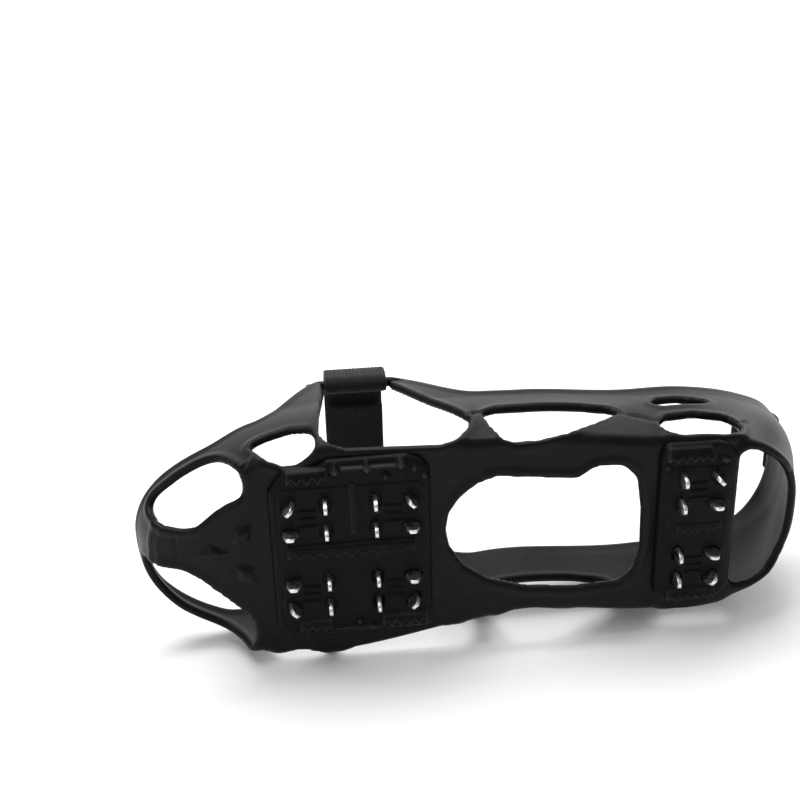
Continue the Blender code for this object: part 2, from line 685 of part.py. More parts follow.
def ribbon(path, thick):
    """Closed outline of a strip of the given thickness along path."""
    step = np.gradient(path, axis=0)
    normal = np.stack([step[:, 1], -step[:, 0]], axis=-1)
    normal /= np.linalg.norm(normal, axis=1)[:, None]
    one, other = path + normal * thick / 2, path - normal * thick / 2
    return [tuple(p) for p in one] + [tuple(p) for p in other[::-1]]


def add_pivot(name, place):
    """An empty on a joint's axis."""
    empty = bpy.data.objects.new(name, None)
    bpy.context.scene.collection.objects.link(empty)
    empty.parent = bpy.data.objects[ROOT_NAME]
    empty.location = [c * MM for c in place]
    return empty


def strap_piece(name, path, thick, width, mat, pivot):
    prism = (ribbon(path, thick), BAR_X - width / 2, BAR_X + width / 2, "x")
    back = [-c / MM for c in pivot.location]
    return prisms_object(name, [prism], mat, pivot, back)


def build_straps(webbing, hooks, loops):
    tape = STRAP_WIDTH - 2 * TAPE_MARGIN
    outer_pivot = add_pivot("outer_strap_axis", (BAR_X, BAR_HEIGHT, bar_z(1.0)))
    inner_pivot = add_pivot("inner_strap_axis", (BAR_X, BAR_HEIGHT, bar_z(-1.0)))

    over = arch(over_lift)
    over = over[over[:, 1] > OUTER_STRAP_END]
    path = np.concatenate([bar_wrap(1.0), over])
    strap_piece("outer_strap", path, STRAP_THICK, STRAP_WIDTH, webbing, outer_pivot)

    under = arch(WRAP_RADIUS)[::-1]
    under = under[under[:, 1] < INNER_STRAP_END]
    path = np.concatenate([bar_wrap(-1.0), under])
    strap_piece("inner_strap", path, STRAP_THICK, STRAP_WIDTH, webbing, inner_pivot)

    hook = arch(HOOK_TAPE_LIFT)
    hook = hook[(hook[:, 1] > OUTER_STRAP_END + 1.0) & (hook[:, 1] < INNER_STRAP_END)]
    strap_piece("hook_tape", hook, TAPE_THICK, tape, hooks, outer_pivot)

    loop = arch(LOOP_TAPE_LIFT)
    loop = loop[(loop[:, 1] < INNER_STRAP_END - 1.0) & (loop[:, 1] > OUTER_STRAP_END - 8.0)]
    strap_piece("loop_tape", loop, TAPE_THICK, tape, loops, inner_pivot)


def build_heel_tab(rubber):
    """A pull tab that grows from the band's top edge, bulges back and leans in again."""
    axis_x = HEEL_END + HEEL_LEAN - TAPER * (BACK_RIM - TAPER_START) ** 2 - WALL / 2
    axis_y = BACK_RIM + 2 * GAP + TAB_THICK / 2
    pivot = add_pivot("heel_tab_axis", (axis_x, axis_y, 0.0))
    t = np.linspace(0.0, 1.0, 15)
    path = np.stack([axis_x + TAB_BULGE * np.sin(1.25 * math.pi * t), axis_y + TAB_RISE * t], -1)
    outline = ribbon(path, TAB_THICK)
    first, last = np.array(outline[0]), np.array(outline[-1])
    middle, spoke = (first + last) / 2, (last - first) / 2
    ahead = path[1] - path[0]
    ahead *= (TAB_THICK / 2) / np.linalg.norm(ahead)
    foot = [tuple(middle + math.cos(a) * spoke - math.sin(a) * ahead)
            for a in np.linspace(0.0, math.pi, 7)[1:-1]]
    prism = (outline + foot, -TAB_WIDTH / 2, TAB_WIDTH / 2, "z")
    tab = prisms_object("heel_tab", [prism], rubber, pivot, [-c / MM for c in pivot.location])
    tab.data.shade_smooth()
    tab.data.set_sharp_from_angle(angle=math.radians(40.0))


# ------------------------------------------------------------------ the whole cleat

def stand_on_origin():
    """Moves the cleat so that the middle of its box's floor is the origin."""
    bpy.context.view_layer.update()
    graph = bpy.context.evaluated_depsgraph_get()
    corners = []
    for piece in bpy.context.scene.objects:
        if piece.type == "MESH" and not piece.hide_render:
            shown = piece.evaluated_get(graph)
            corners += [shown.matrix_world @ v.co for v in shown.data.vertices]
    points = np.array(corners)
    low, high = points.min(axis=0), points.max(axis=0)
    bpy.data.objects[ROOT_NAME].location = (
        -(low[0] + high[0]) / 2, -(low[1] + high[1]) / 2, -low[2])
    bpy.context.view_layer.update()


def main():
    clear_scene()
    bpy.context.scene.collection.objects.link(bpy.data.objects.new(ROOT_NAME, None))
    rubber = material("rubber", (0.022, 0.023, 0.025), 0.55)
    hard = material("tread", (0.018, 0.018, 0.019), 0.62)
    steel = material("steel", (0.72, 0.73, 0.75), 0.28, 1.0)
    webbing = material("webbing", (0.020, 0.021, 0.025), 0.90)
    hooks = material("hook_tape", (0.015, 0.015, 0.017), 0.95)
    loops = material("loop_tape", (0.030, 0.030, 0.033), 1.0)

    build_moulding(rubber)
    build_tread_plate("forefoot_tread_plate", forefoot_plate_outline(), forefoot_lugs(), hard)
    build_tread_plate("heel_tread_plate", heel_plate_outline(), heel_lugs(), hard)
    build_steel(steel)
    build_bar("outer_strap_bar", 1.0, rubber)
    build_bar("inner_strap_bar", -1.0, rubber)
    build_straps(webbing, hooks, loops)
    build_heel_tab(rubber)
    stand_on_origin()


main()
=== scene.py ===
"""Looks of the ice cleat: a stretched rubber overshoe with steel teeth, lying on its inner side.

Shapes are worked out in millimetres in the foot's own coordinates: x from the forefoot pad's
centre towards the heel, y up from the web's tread side into the boot, z across, outer side
positive. place() turns them into the shared frame.
"""
import math

import bpy
import bmesh
import numpy as np
from mathutils import Matrix, Vector


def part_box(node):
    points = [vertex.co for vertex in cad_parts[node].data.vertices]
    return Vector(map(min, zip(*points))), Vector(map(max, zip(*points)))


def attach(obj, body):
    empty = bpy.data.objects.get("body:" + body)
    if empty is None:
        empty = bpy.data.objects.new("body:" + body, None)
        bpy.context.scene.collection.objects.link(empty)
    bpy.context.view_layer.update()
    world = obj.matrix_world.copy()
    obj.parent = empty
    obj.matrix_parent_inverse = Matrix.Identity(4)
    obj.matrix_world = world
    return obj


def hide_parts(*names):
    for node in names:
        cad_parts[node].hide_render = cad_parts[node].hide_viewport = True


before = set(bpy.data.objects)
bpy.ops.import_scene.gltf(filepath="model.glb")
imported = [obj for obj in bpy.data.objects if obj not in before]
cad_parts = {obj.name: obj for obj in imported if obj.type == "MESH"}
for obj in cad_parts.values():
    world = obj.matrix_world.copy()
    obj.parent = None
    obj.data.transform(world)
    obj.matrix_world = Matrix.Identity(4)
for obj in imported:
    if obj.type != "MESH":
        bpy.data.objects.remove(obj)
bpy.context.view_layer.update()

MM = 0.001

# ------------------------------------------------------------------ sizes shared with the CAD
TOE_REACH, PAD_SPACING, HEEL_REACH = 98.0, 167.0, 53.0
FOREFOOT = {1: 56.0, -1: 61.0}
WAIST = {1: 53.0, -1: 45.0}
HEEL = {1: 48.0, -1: 50.0}
END_POWER, OUTER_TOE_POWER = 2.5, 2.0
WALL, EDGE_RADIUS, GAP = 3.0, 5.0, 0.3
TOE_SPRING, SPRING_START = 10.0, 50.0
TOE_LEAN, HEEL_LEAN, LEAN_HEIGHT = 5.0, 16.0, 60.0
WALL_BULGE, TAPER, TAPER_START = 2.0, 0.0011, 25.0
TOE_RIM, VAMP_RIM, WAIST_RIM, HEEL_RIM, BACK_RIM = 32.0, 33.0, 57.0, 61.0, 70.0
BAR_HEIGHT, BAR_RADIUS, BAR_X = 80.0, 2.5, 9.0
STRAP_WIDTH, STRAP_THICK, STRAP_CLEAR, STRAP_SIDE_CLEAR = 32.0, 1.7, 0.4, 0.8
STRAP_RISE, ARCH_POWER, TAPE_THICK, TAPE_MARGIN = 30.0, 0.72, 1.0, 2.0
OUTER_STRAP_END, INNER_STRAP_END = -26.0, 24.0
TREAD_THICK, TOOTH_PITCH_X, TOOTH_PITCH_Z = 3.7, 17.0, 13.9
STAMP_GAP_X, STAMP_GAP_Z = 40.3, 41.3
TOOTH_WIDTH, TOOTH_HEIGHT, STAMP_MARGIN = 7.0, 8.2, 4.6
TAB_WIDTH, TAB_THICK, TAB_RISE, TAB_BULGE = 24.0, 3.4, 37.0, 9.0
PAD_LEFT, PAD_LOW = -38.0, -46.0      # corner of the forefoot tread plate
HEEL_END = PAD_SPACING + HEEL_REACH
LENGTH = TOE_REACH + HEEL_END
WAIST_X = 0.55 * PAD_SPACING
TREAD_FACE = -(GAP + TREAD_THICK)

_low, _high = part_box("forefoot_tread_plate")
ORIGIN = np.array([_low.x / MM - PAD_LEFT, _high.y / MM + GAP, _low.z / MM - PAD_LOW])
REST_LEVEL = 0.05 - ORIGIN[2]         # the floor, in foot coordinates

# ------------------------------------------------------------------ sizes of the looks alone
STATIONS, SOLE_STEPS, EDGE_STEPS, WALL_STEPS = 300, 34, 6, 36
BEAD = 2.1                            # radius of the moulding's rounded edges
FOLD_DEPTH, SEAM_DEPTH, SEAM_X, BAND_HEIGHT = 0.9, 0.35, -83.0, 0.5
TOE_LUGS = ((-51.0, 12.0, 0.75), (-66.0, 2.5, 0.05), (-50.5, -9.5, -0.85))
TOE_LUG_LENGTH, TOE_LUG_WIDTH, TOE_LUG_HEIGHT = 8.4, 5.0, 2.1     # half sizes in plan
PLATE_SHOULDER, PLATE_BACK, FIELD_HEIGHT = 3.0, -0.35, 0.45
COLLAR_HEIGHT, SOCKET_DEPTH = 0.5, 2.1
TOOTH_SHEET = 1.9                     # thickness of a tooth
END_NARROWING = 0.42                  # how much a strap's rounded end narrows


def place(points):
    """Foot coordinates in millimetres to the shared frame in metres."""
    return (np.asarray(points) + ORIGIN) * MM


# ------------------------------------------------------------------ plane shapes and curves
def smooth_step(t):
    t = np.clip(t, 0.0, 1.0)
    return t * t * (3.0 - 2.0 * t)


def smooth_through(x, points):
    """Height at x of a curve that eases from each point to the next."""
    xs, ys = (np.array(c, float) for c in zip(*points))
    i = np.clip(np.searchsorted(xs, x) - 1, 0, len(xs) - 2)
    t = smooth_step((x - xs[i]) / (xs[i + 1] - xs[i]))
    return ys[i] + t * (ys[i + 1] - ys[i])


def round_corners(points, radius, steps=5):
    """A polygon whose corners become arcs that touch both sides, no longer than the sides allow."""
    out, count = [], len(points)
    for i in range(count):
        corner = np.array(points[i], float)
        before = np.array(points[i - 1], float) - corner
        after = np.array(points[(i + 1) % count], float) - corner
        room_a, room_b = np.linalg.norm(before), np.linalg.norm(after)
        before, after = before / room_a, after / room_b
        angle = math.acos(np.clip(before @ after, -1.0, 1.0))
        cut = min(radius / math.tan(angle / 2), 0.48 * room_a, 0.48 * room_b)
        bend = cut * math.tan(angle / 2)
        middle = before + after
        centre = corner + middle / np.linalg.norm(middle) * (bend / math.sin(angle / 2))
        start, end = corner + before * cut - centre, corner + after * cut - centre
        for t in np.linspace(0.0, 1.0, steps + 1):
            spoke = start * (1 - t) + end * t
            out.append(centre + spoke / np.linalg.norm(spoke) * bend)
    return np.array(out)


def outline_distance(u, v, outline):
    """Distance from each (u, v) to a closed outline, negative inside it (crossing-number rule)."""
    outline = np.asarray(outline, float)
    best = np.full(np.shape(u), 1e9)
    inside = np.zeros(np.shape(u), bool)
    for (au, av), (bu, bv) in zip(outline, np.roll(outline, -1, axis=0)):
        du, dv = bu - au, bv - av
        t = np.clip(((u - au) * du + (v - av) * dv) / max(du * du + dv * dv, 1e-12), 0.0, 1.0)
        best = np.minimum(best, (u - au - t * du) ** 2 + (v - av - t * dv) ** 2)
        if abs(dv) > 1e-12:
            inside ^= ((av > v) != (bv > v)) & (u < du * (v - av) / dv + au)
    return np.where(inside, -1.0, 1.0) * np.sqrt(best)


def segment_distance(u, v, a, b):
    """Distance in the plane from (u, v) to the segment from a to b."""
    du, dv = b[0] - a[0], b[1] - a[1]
    t = np.clip(((u - a[0]) * du + (v - a[1]) * dv) / (du * du + dv * dv), 0.0, 1.0)
    return np.hypot(u - a[0] - t * du, v - a[1] - t * dv)


def soft_max(a, b, reach):
    """The larger of two distances, blended over reach where they are nearly equal."""
    mix = np.clip(1.0 - np.abs(a - b) / reach, 0.0, None)
    return np.maximum(a, b) + mix * mix * reach / 4.0


def rectangle(x0, x1, z0, z1):
    return [(x0, z0), (x1, z0), (x1, z1), (x0, z1)]


def turned(du, dv, turn):
    """Offsets (du, dv) measured along and across an axis turned by turn radians."""
    c, s = math.cos(turn), math.sin(turn)
    return du * c + dv * s, dv * c - du * s


def edge_round(away, radius):
    """Height sqrt(R^2 - (R - d)^2) of a quarter circle at distance d from its edge, then flat."""
    return np.sqrt(np.clip(radius ** 2 - (radius - np.minimum(away, radius)) ** 2, 0.0, None))


def quarter_circle(t, least=0.0):
    """Rise sqrt(1 - (1 - t)^2) from 0 to 1, with its square kept no less than least."""
    return np.sqrt(np.clip(1.0 - (1.0 - np.clip(t, 0.0, 1.0)) ** 2, least, 1.0))


def oval_edge(u, flat, fall):
    """Share of the thickness across a strip: full while |u| < flat, then a quarter circle down."""
    return np.sqrt(np.clip(1.0 - np.clip((np.abs(u) - flat) / fall, 0.0, 1.0) ** 2, 0.0, 1.0))


def path_normals(path):
    """Unit normals of a plane line, to its right."""
    step = np.gradient(path, axis=0)
    normal = np.stack([step[:, 1], -step[:, 0]], -1)
    return normal / np.linalg.norm(normal, axis=1)[:, None]


# ------------------------------------------------------------------ sheets with openings
def grid_triangles(rows, columns):
    """Index triangles of a rows x columns grid of points, two for each cell."""
    i = np.arange(rows * columns).reshape(rows, columns)
    a, b, c, d = i[:-1, :-1], i[1:, :-1], i[1:, 1:], i[:-1, 1:]
    one = np.stack([a, b, c], -1).reshape(-1, 3)
    two = np.stack([a, c, d], -1).reshape(-1, 3)
    return np.concatenate([one, two])


def compact(points, tris):
    used, back = np.unique(tris, return_inverse=True)
    return points[used], back.reshape(-1, 3)


def face_cross(points, tris):
    a, b, c = (points[tris[:, k], :3] for k in range(3))
    return np.cross(b - a, c - a)


def vertex_normals(points, tris):
    """Area-weighted mean of the normals of the triangles at each point."""
    cross = face_cross(points, tris)
    total = np.zeros((len(points), 3))
    for k in range(3):
        np.add.at(total, tris[:, k], cross)
    return total / np.maximum(np.linalg.norm(total, axis=1), 1e-12)[:, None]


def snap_to_contour(points, tris, field, share=0.3):
    """Slides points whose field is nearly zero onto its zero contour, along its gradient."""
    a, b, c = (points[tris[:, k], :3] for k in range(3))
    cross = np.cross(b - a, c - a)
    area = np.maximum((cross ** 2).sum(1), 1e-18)[:, None]
    f = [field[tris[:, k]][:, None] for k in range(3)]
    slope = (f[0] * np.cross(cross, c - b) + f[1] * np.cross(cross, a - c)
             + f[2] * np.cross(cross, b - a)) / area
    weight = np.sqrt(area)
    total, mass = np.zeros((len(points), 3)), np.zeros(len(points))
    reach = np.full(len(points), 1e9)
    for k in range(3):
        np.add.at(total, tris[:, k], slope * weight)
        np.add.at(mass, tris[:, k], weight[:, 0])
        side = np.linalg.norm(points[tris[:, k], :3] - points[tris[:, (k + 1) % 3], :3], axis=1)
        np.minimum.at(reach, tris[:, k], side)
        np.minimum.at(reach, tris[:, (k + 1) % 3], side)
    slope = total / np.maximum(mass, 1e-12)[:, None]
    steep = np.maximum((slope ** 2).sum(1), 1e-6)
    near = np.abs(field) < share * reach * np.sqrt(steep)
    points = points.copy()
    points[near, :3] -= (field[near] / steep[near])[:, None] * slope[near]
    return points, np.where(near, 0.0, field)


def polygons_to_triangles(slots):
    """Triangles of polygons held in rows of up to six corner slots, -1 where a slot is empty."""
    order = np.argsort(slots < 0, axis=1, kind="stable")
    packed = np.take_along_axis(slots, order, axis=1)
    count = (packed >= 0).sum(1)
    out = []
    for k in range(1, packed.shape[1] - 1):
        row = count > k + 1
        out.append(np.stack([packed[row, 0], packed[row, k], packed[row, k + 1]], -1))
    return np.concatenate(out)


def split_edges(tris, count, kept, split):
    """Corner slots of triangles over count points: each kept corner, and a new point on each edge
    for which split(a, b) holds. Also the two ends of the edge that each new point lies on."""
    slots = np.full((len(tris), 6), -1)
    pairs, places = [], []
    for k in range(3):
        a, b = tris[:, k], tris[:, (k + 1) % 3]
        slots[kept[a], 2 * k] = a[kept[a]]
        at = np.flatnonzero(split(a, b))
        pairs.append(np.stack([a[at], b[at]], -1))
        places.append(np.stack([at, np.full(len(at), 2 * k + 1)], -1))
    pairs, places = np.concatenate(pairs), np.concatenate(places)
    keys = pairs.min(1).astype(np.int64) * count + pairs.max(1)
    keys, back = np.unique(keys, return_inverse=True)
    slots[places[:, 0], places[:, 1]] = count + back.ravel()
    return slots, keys // count, keys % count


def cut_sheet(points, tris, field):
    """Keeps the part of a sheet where field is positive, cut straight along its zero contour."""
    points, field = snap_to_contour(points, tris, field)
    sign = np.sign(field)[tris]
    whole = (sign >= 0).all(1) & (sign > 0).any(1)
    crossed = (sign > 0).any(1) & (sign < 0).any(1)
    slots, low, high = split_edges(tris[crossed], len(points), field >= 0,
                                   lambda a, b: field[a] * field[b] < 0)
    t = (field[low] / (field[low] - field[high]))[:, None]
    points = np.concatenate([points, points[low] * (1 - t) + points[high] * t])
    tris = np.concatenate([tris[whole], polygons_to_triangles(slots)])
    size = np.linalg.norm(face_cross(points, tris), axis=1)
    return compact(points, tris[size > 1e-5])


def open_edges(tris, count):
    """Directed edges that only one triangle uses."""
    edges = np.concatenate([tris[:, [0, 1]], tris[:, [1, 2]], tris[:, [2, 0]]])
    keys = edges[:, 0].astype(np.int64) * count + edges[:, 1]
    back = edges[:, 1].astype(np.int64) * count + edges[:, 0]
    return edges[~np.isin(keys, back)]


def free_bridges(points, tris):
    """Splits inner edges whose two ends both lie on the sheet's edge, so that a wall can close."""
    count = len(points)
    rim_edges = open_edges(tris, count)
    on_rim = np.zeros(count, bool)
    on_rim[rim_edges] = True
    rim_keys = rim_edges.min(1).astype(np.int64) * count + rim_edges.max(1)

    def is_bridge(a, b):
        key = np.minimum(a, b).astype(np.int64) * count + np.maximum(a, b)
        return on_rim[a] & on_rim[b] & ~np.isin(key, rim_keys)

    slots, low, high = split_edges(tris, count, np.ones(count, bool), is_bridge)
    points = np.concatenate([points, (points[low] + points[high]) / 2])
    has = slots[:, 1::2] >= 0
    start = np.where(has.any(1), 2 * has.argmax(1) + 1, 0)
    turn = (np.arange(6)[None, :] + start[:, None]) % 6
    return points, polygons_to_triangles(np.take_along_axis(slots, turn, axis=1))


def rim_distance(points, tris, reach):
    """Distance in space from each point to the sheet's open edges, as far as reach."""
    edges = open_edges(tris, len(points))
    a, b = points[edges[:, 0], :3], points[edges[:, 1], :3]
    out = np.full(len(points), reach)
    span, size = b - a, np.maximum(((b - a) ** 2).sum(1), 1e-12)
    for lo in range(0, len(points), 600):
        p = points[lo:lo + 600, :3]
        close = (np.abs((a + b)[None] / 2 - p[:, None]).max(-1) < reach + 3.0).any(0)
        if not close.any():
            continue
        away = p[:, None] - a[close][None]
        t = np.clip((away * span[close]).sum(-1) / size[close], 0.0, 1.0)
        gap = away - t[..., None] * span[close]
        out[lo:lo + 600] = np.minimum(out[lo:lo + 600], np.sqrt((gap ** 2).sum(-1).min(1)))
    return out


def close_wall(points, tris, normals, out_by, in_by):
    """Joins a sheet pushed outwards and a copy pushed inwards at their shared open edges."""
    edges = open_edges(tris, len(points))
    on_rim = np.zeros(len(points), bool)
    on_rim[edges] = True
    middle = (out_by - in_by) / 2
    outer = points[:, :3] + normals * np.where(on_rim, middle, out_by)[:, None]
    inner = points[:, :3] - normals * in_by[:, None]
    index = np.arange(len(points))
    index[~on_rim] = len(points) + np.arange((~on_rim).sum())
    return np.concatenate([outer, inner[~on_rim]]), np.concatenate([tris, index[tris][:, ::-1]])


def add_object(name, data):
    holder = bpy.data.objects.new(name, data)
    bpy.context.scene.collection.objects.link(holder)
    return holder


def make_piece(name, points, faces):
    """A smooth mesh object from foot coordinates in millimetres, its place in its mesh."""
    data = bpy.data.meshes.new(name)
    data.from_pydata(place(points), [], faces.tolist() if isinstance(faces, np.ndarray) else faces)
    data.validate()
    data.polygons.foreach_set("use_smooth", np.full(len(data.polygons), True))
    data.update()
    return add_object(name, data)


# ------------------------------------------------------------------ the harness surface
def half_width(x, side):
    """Half width of the web: eased forefoot, waist and heel widths with superellipse ends."""
    width = smooth_through(x, [(-20.0, FOREFOOT[side]), (WAIST_X, WAIST[side]),
                               (PAD_SPACING - 15.0, HEEL[side])])
    toe_power = OUTER_TOE_POWER if side > 0 else END_POWER
    toe = np.clip(-x / TOE_REACH, 0.0, 1.0) ** toe_power
    end = np.clip((x - PAD_SPACING + 7.0) / (HEEL_REACH + 7.0), 0.0, 1.0) ** END_POWER
    return width * (1.0 - toe) ** (1.0 / toe_power) * (1.0 - end) ** (1.0 / END_POWER)


def rim_height(x):
    """Top edge of the moulding at x."""
    arm = STRAP_WIDTH / 2 + STRAP_SIDE_CLEAR
    top = BAR_HEIGHT + BAR_RADIUS + 2.0
    return smooth_through(x, [
        (-TOE_REACH, TOE_RIM), (-TOE_REACH + 12.0, TOE_RIM + 1.5),
        (-0.68 * TOE_REACH, VAMP_RIM), (-0.46 * TOE_REACH, VAMP_RIM + 8.0),
        (BAR_X - arm, top), (BAR_X + arm, top),
        (BAR_X + arm + 44.0, WAIST_RIM + 1.0), (WAIST_X + 10.0, WAIST_RIM),
        (PAD_SPACING, HEEL_RIM), (HEEL_END - 22.0, HEEL_RIM + 1.0), (HEEL_END, BACK_RIM)])


def web_rise(x):
    """How far toe spring lifts the web at x, a parabola from where it starts."""
    t = np.clip((-x - SPRING_START) / (TOE_REACH - SPRING_START), 0.0, 1.0)
    return TOE_SPRING * t * t


def wall_point(x, out_x, out_z, z, y):
    """The point y above the web on the wall over the outline at (x, z): bulge, taper and leans."""
    shift = WALL_BULGE * np.sin(np.clip(y / 50.0, 0.0, 1.0) * math.pi)
    shift = shift - TAPER * np.clip(y - TAPER_START, 0.0, None) ** 2
    lean = HEEL_LEAN * smooth_step((x - HEEL_END + 45.0) / 45.0) * smooth_step(y / LEAN_HEIGHT)
    lean = lean - TOE_LEAN * smooth_step((-x - TOE_REACH + 40.0) / 40.0) * smooth_step(y / 30.0)
    return np.stack([x + out_x * shift + lean, y, z + out_z * shift], axis=-1)


def shell_side(side, stations, sole_steps, edge_steps, wall_steps):
    """Rows of points over half the web, round the edge and up the wall, each with its height on
    the unrolled wall as a fourth value: minus the distance inside the outline on the web."""
    turn = np.linspace(0.0, math.pi, stations + 1)
    x = -TOE_REACH + LENGTH * (1.0 - np.cos(turn)) / 2.0
    z = side * half_width(x, side)
    ring_x, ring_z = np.concatenate([[x[1]], x, [x[-2]]]), np.concatenate([[-z[1]], z, [-z[-2]]])
    dx, dz = (np.gradient(c)[1:-1] for c in (ring_x, ring_z))
    norm = np.hypot(dx, dz)
    out_x, out_z = -side * dz / norm, side * dx / norm
    rise = web_rise(x)
    spine_x = -TOE_REACH + 38.0 + (x + TOE_REACH) * (LENGTH - 74.0) / LENGTH
    foot_x, foot_z = x - out_x * EDGE_RADIUS, z - out_z * EDGE_RADIUS
    rows = []
    for t in np.linspace(0.0, 1.0, sole_steps + 1):
        px = spine_x + t * (foot_x - spine_x)
        inside = -EDGE_RADIUS - (1.0 - t) * np.hypot(foot_x - spine_x, foot_z)
        rows.append(np.stack([px, web_rise(px), t * foot_z, inside], axis=-1))
    for angle in np.linspace(0.0, math.pi / 2, edge_steps + 1)[1:]:
        inward, up = EDGE_RADIUS * (1.0 - math.sin(angle)), EDGE_RADIUS * (1.0 - math.cos(angle))
        rows.append(np.stack([x - out_x * inward, rise + up, z - out_z * inward,
                              np.full_like(x, up - inward)], axis=-1))
    top, start = rim_height(x), rise + EDGE_RADIUS
    base = wall_point(x, out_x, out_z, z, start)
    level = np.stack([x, start, z], axis=-1)
    for t in np.linspace(0.0, 1.0, wall_steps + 1)[1:]:
        y = start + t * (top - start)
        point = wall_point(x, out_x, out_z, z, y) + (1.0 - t) * (level - base)
        rows.append(np.concatenate([point, (y - rise)[:, None]], axis=-1))
    return np.stack(rows, axis=1)


TOE_WINDOW = {
    1: [(-108, 23.0), (-97, 18.5), (-90, 16.0), (-80, 14.6), (-73, 15.8), (-63.5, 24.2),
        (-57.5, 28.2), (-49.5, 31.5), (-47.5, 37.5), (-50.5, 45.5), (-57, 56.0), (-62, 95.0),
        (-108, 95.0)],
    -1: [(-108, 7.0), (-97, 7.0), (-81, 8.0), (-74, 12.2), (-63, 22.0), (-52, 33.0), (-48.0, 40.0),
         (-48.0, 47.0), (-54, 56.0), (-60, 98.0), (-108, 98.0)]}
WAIST_WINDOW = [(45.5, 6), (47, 15), (52, 22.5), (60, 29.5), (70, 33), (93, 30.5), (109, 28.6),
                (117.5, 34.6), (131, 34.2), (138, 27), (140.5, 10), (141, -12), (138, -24.5),
                (131, -30.5), (108, -31.5), (84, -29), (66, -23), (54, -14), (47, -3)]
HEEL_WINDOW = [(187.8, -38), (187.8, 38.5), (198, 37), (211, 29), (226, 14), (260, 9), (260, -11),
               (226, -16), (211, -31), (198, -36.5)]
ARM_FOOT, ARM_SLANT = 49.5, 0.75      # where the front arm leaves the web, and its forward lean
VENT = {1: [(-46, 15.5), (-41, 7), (-36.5, -2), (-30, -7.5), (-23, -8), (-17.5, -4.5), (-14.8, 2),
            (-14.5, 10), (-17, 17), (-26, 20), (-38, 18)],
        -1: [(-46, 15.5), (-41, 8), (-36.5, 1), (-31, -3), (-25, -3.5), (-18.5, -1), (-15.3, 4),
             (-14.5, 10), (-17, 17), (-26, 20), (-38, 18)]}
SIDE_WINDOWS = [
    ([(-12.5, 13), (-8, 4), (-1, -1.5), (43, -1.5), (51, 3), (58, 13), (59.5, 20), (54.5, 29),
      (25.8, 74), (25.8, 130), (-7.8, 130), (-7.8, 66), (-11.5, 30)], 5.0),
    ([(67, 25.5), (69, 14), (73.5, 1), (79, -2), (91, -1), (104, 4), (120, 14), (134, 24.5),
      (130, 28), (116, 29.5), (74, 29.5)], 3.5),
    ([(150.5, 13), (154.5, 5.5), (160, 2.5), (180, 2.5), (188, 6.5), (191.5, 13), (186, 18.5),
      (170, 20.5), (156, 19)], 4.0),
    ([(153, 36), (157, 41), (168, 42), (186, 36.5), (176, 32.8), (158, 32)], 3.5)]
# folds where an arm leaves the web, as (x, height on the unrolled wall)
FOLDS = [((-49.0, -2.5), (-41.5, 7.0)), ((-15.0, 9.0), (-11.5, 14.0)),
         ((58.0, 21.0), (62.5, 26.0)), ((62.5, 26.0), (68.0, 23.5)),
         ((133.0, 23.5), (142.0, 21.0)), ((142.0, 21.0), (151.5, 14.0)),
         ((191.0, 14.0), (197.0, 19.0))]


def openings(p):
    """Distance to the nearest opening: plan outlines below a level, side outlines on the
    unrolled wall; positive on rubber."""
    x, y, z, w = p.T
    side = np.where(z >= 0, 1, -1)
    toe_top = smooth_through(x, [(-98, 24.0), (-84, 21.5), (-66, 20.5), (-40, 22.0)])
    field = outline_distance(x, z, round_corners(WAIST_WINDOW, 8.0))
    heel = outline_distance(x, z, round_corners(HEEL_WINDOW, 6.0))
    field = np.minimum(field, soft_max(heel, y - 6.5, 5.0))
    for s in (1, -1):
        toe = outline_distance(x, z * s, round_corners(TOE_WINDOW[s], 9.0))
        arm = (x + ARM_FOOT + ARM_SLANT * np.clip(w, -3.0, None)) / math.hypot(1.0, ARM_SLANT)
        field = np.minimum(field, soft_max(soft_max(toe, arm, 5.0), y - toe_top, 8.0))
        vent = outline_distance(x, w, round_corners(VENT[s], 5.0))
        field = np.minimum(field, np.where(side == s, vent, field))
    for outline, radius in SIDE_WINDOWS:
        field = np.minimum(field, outline_distance(x, w, round_corners(outline, radius)))
    return field


def lobe(u, v, centre, spread):
    return np.exp(-((u - centre[0]) / spread[0]) ** 2 - ((v - centre[1]) / spread[1]) ** 2)


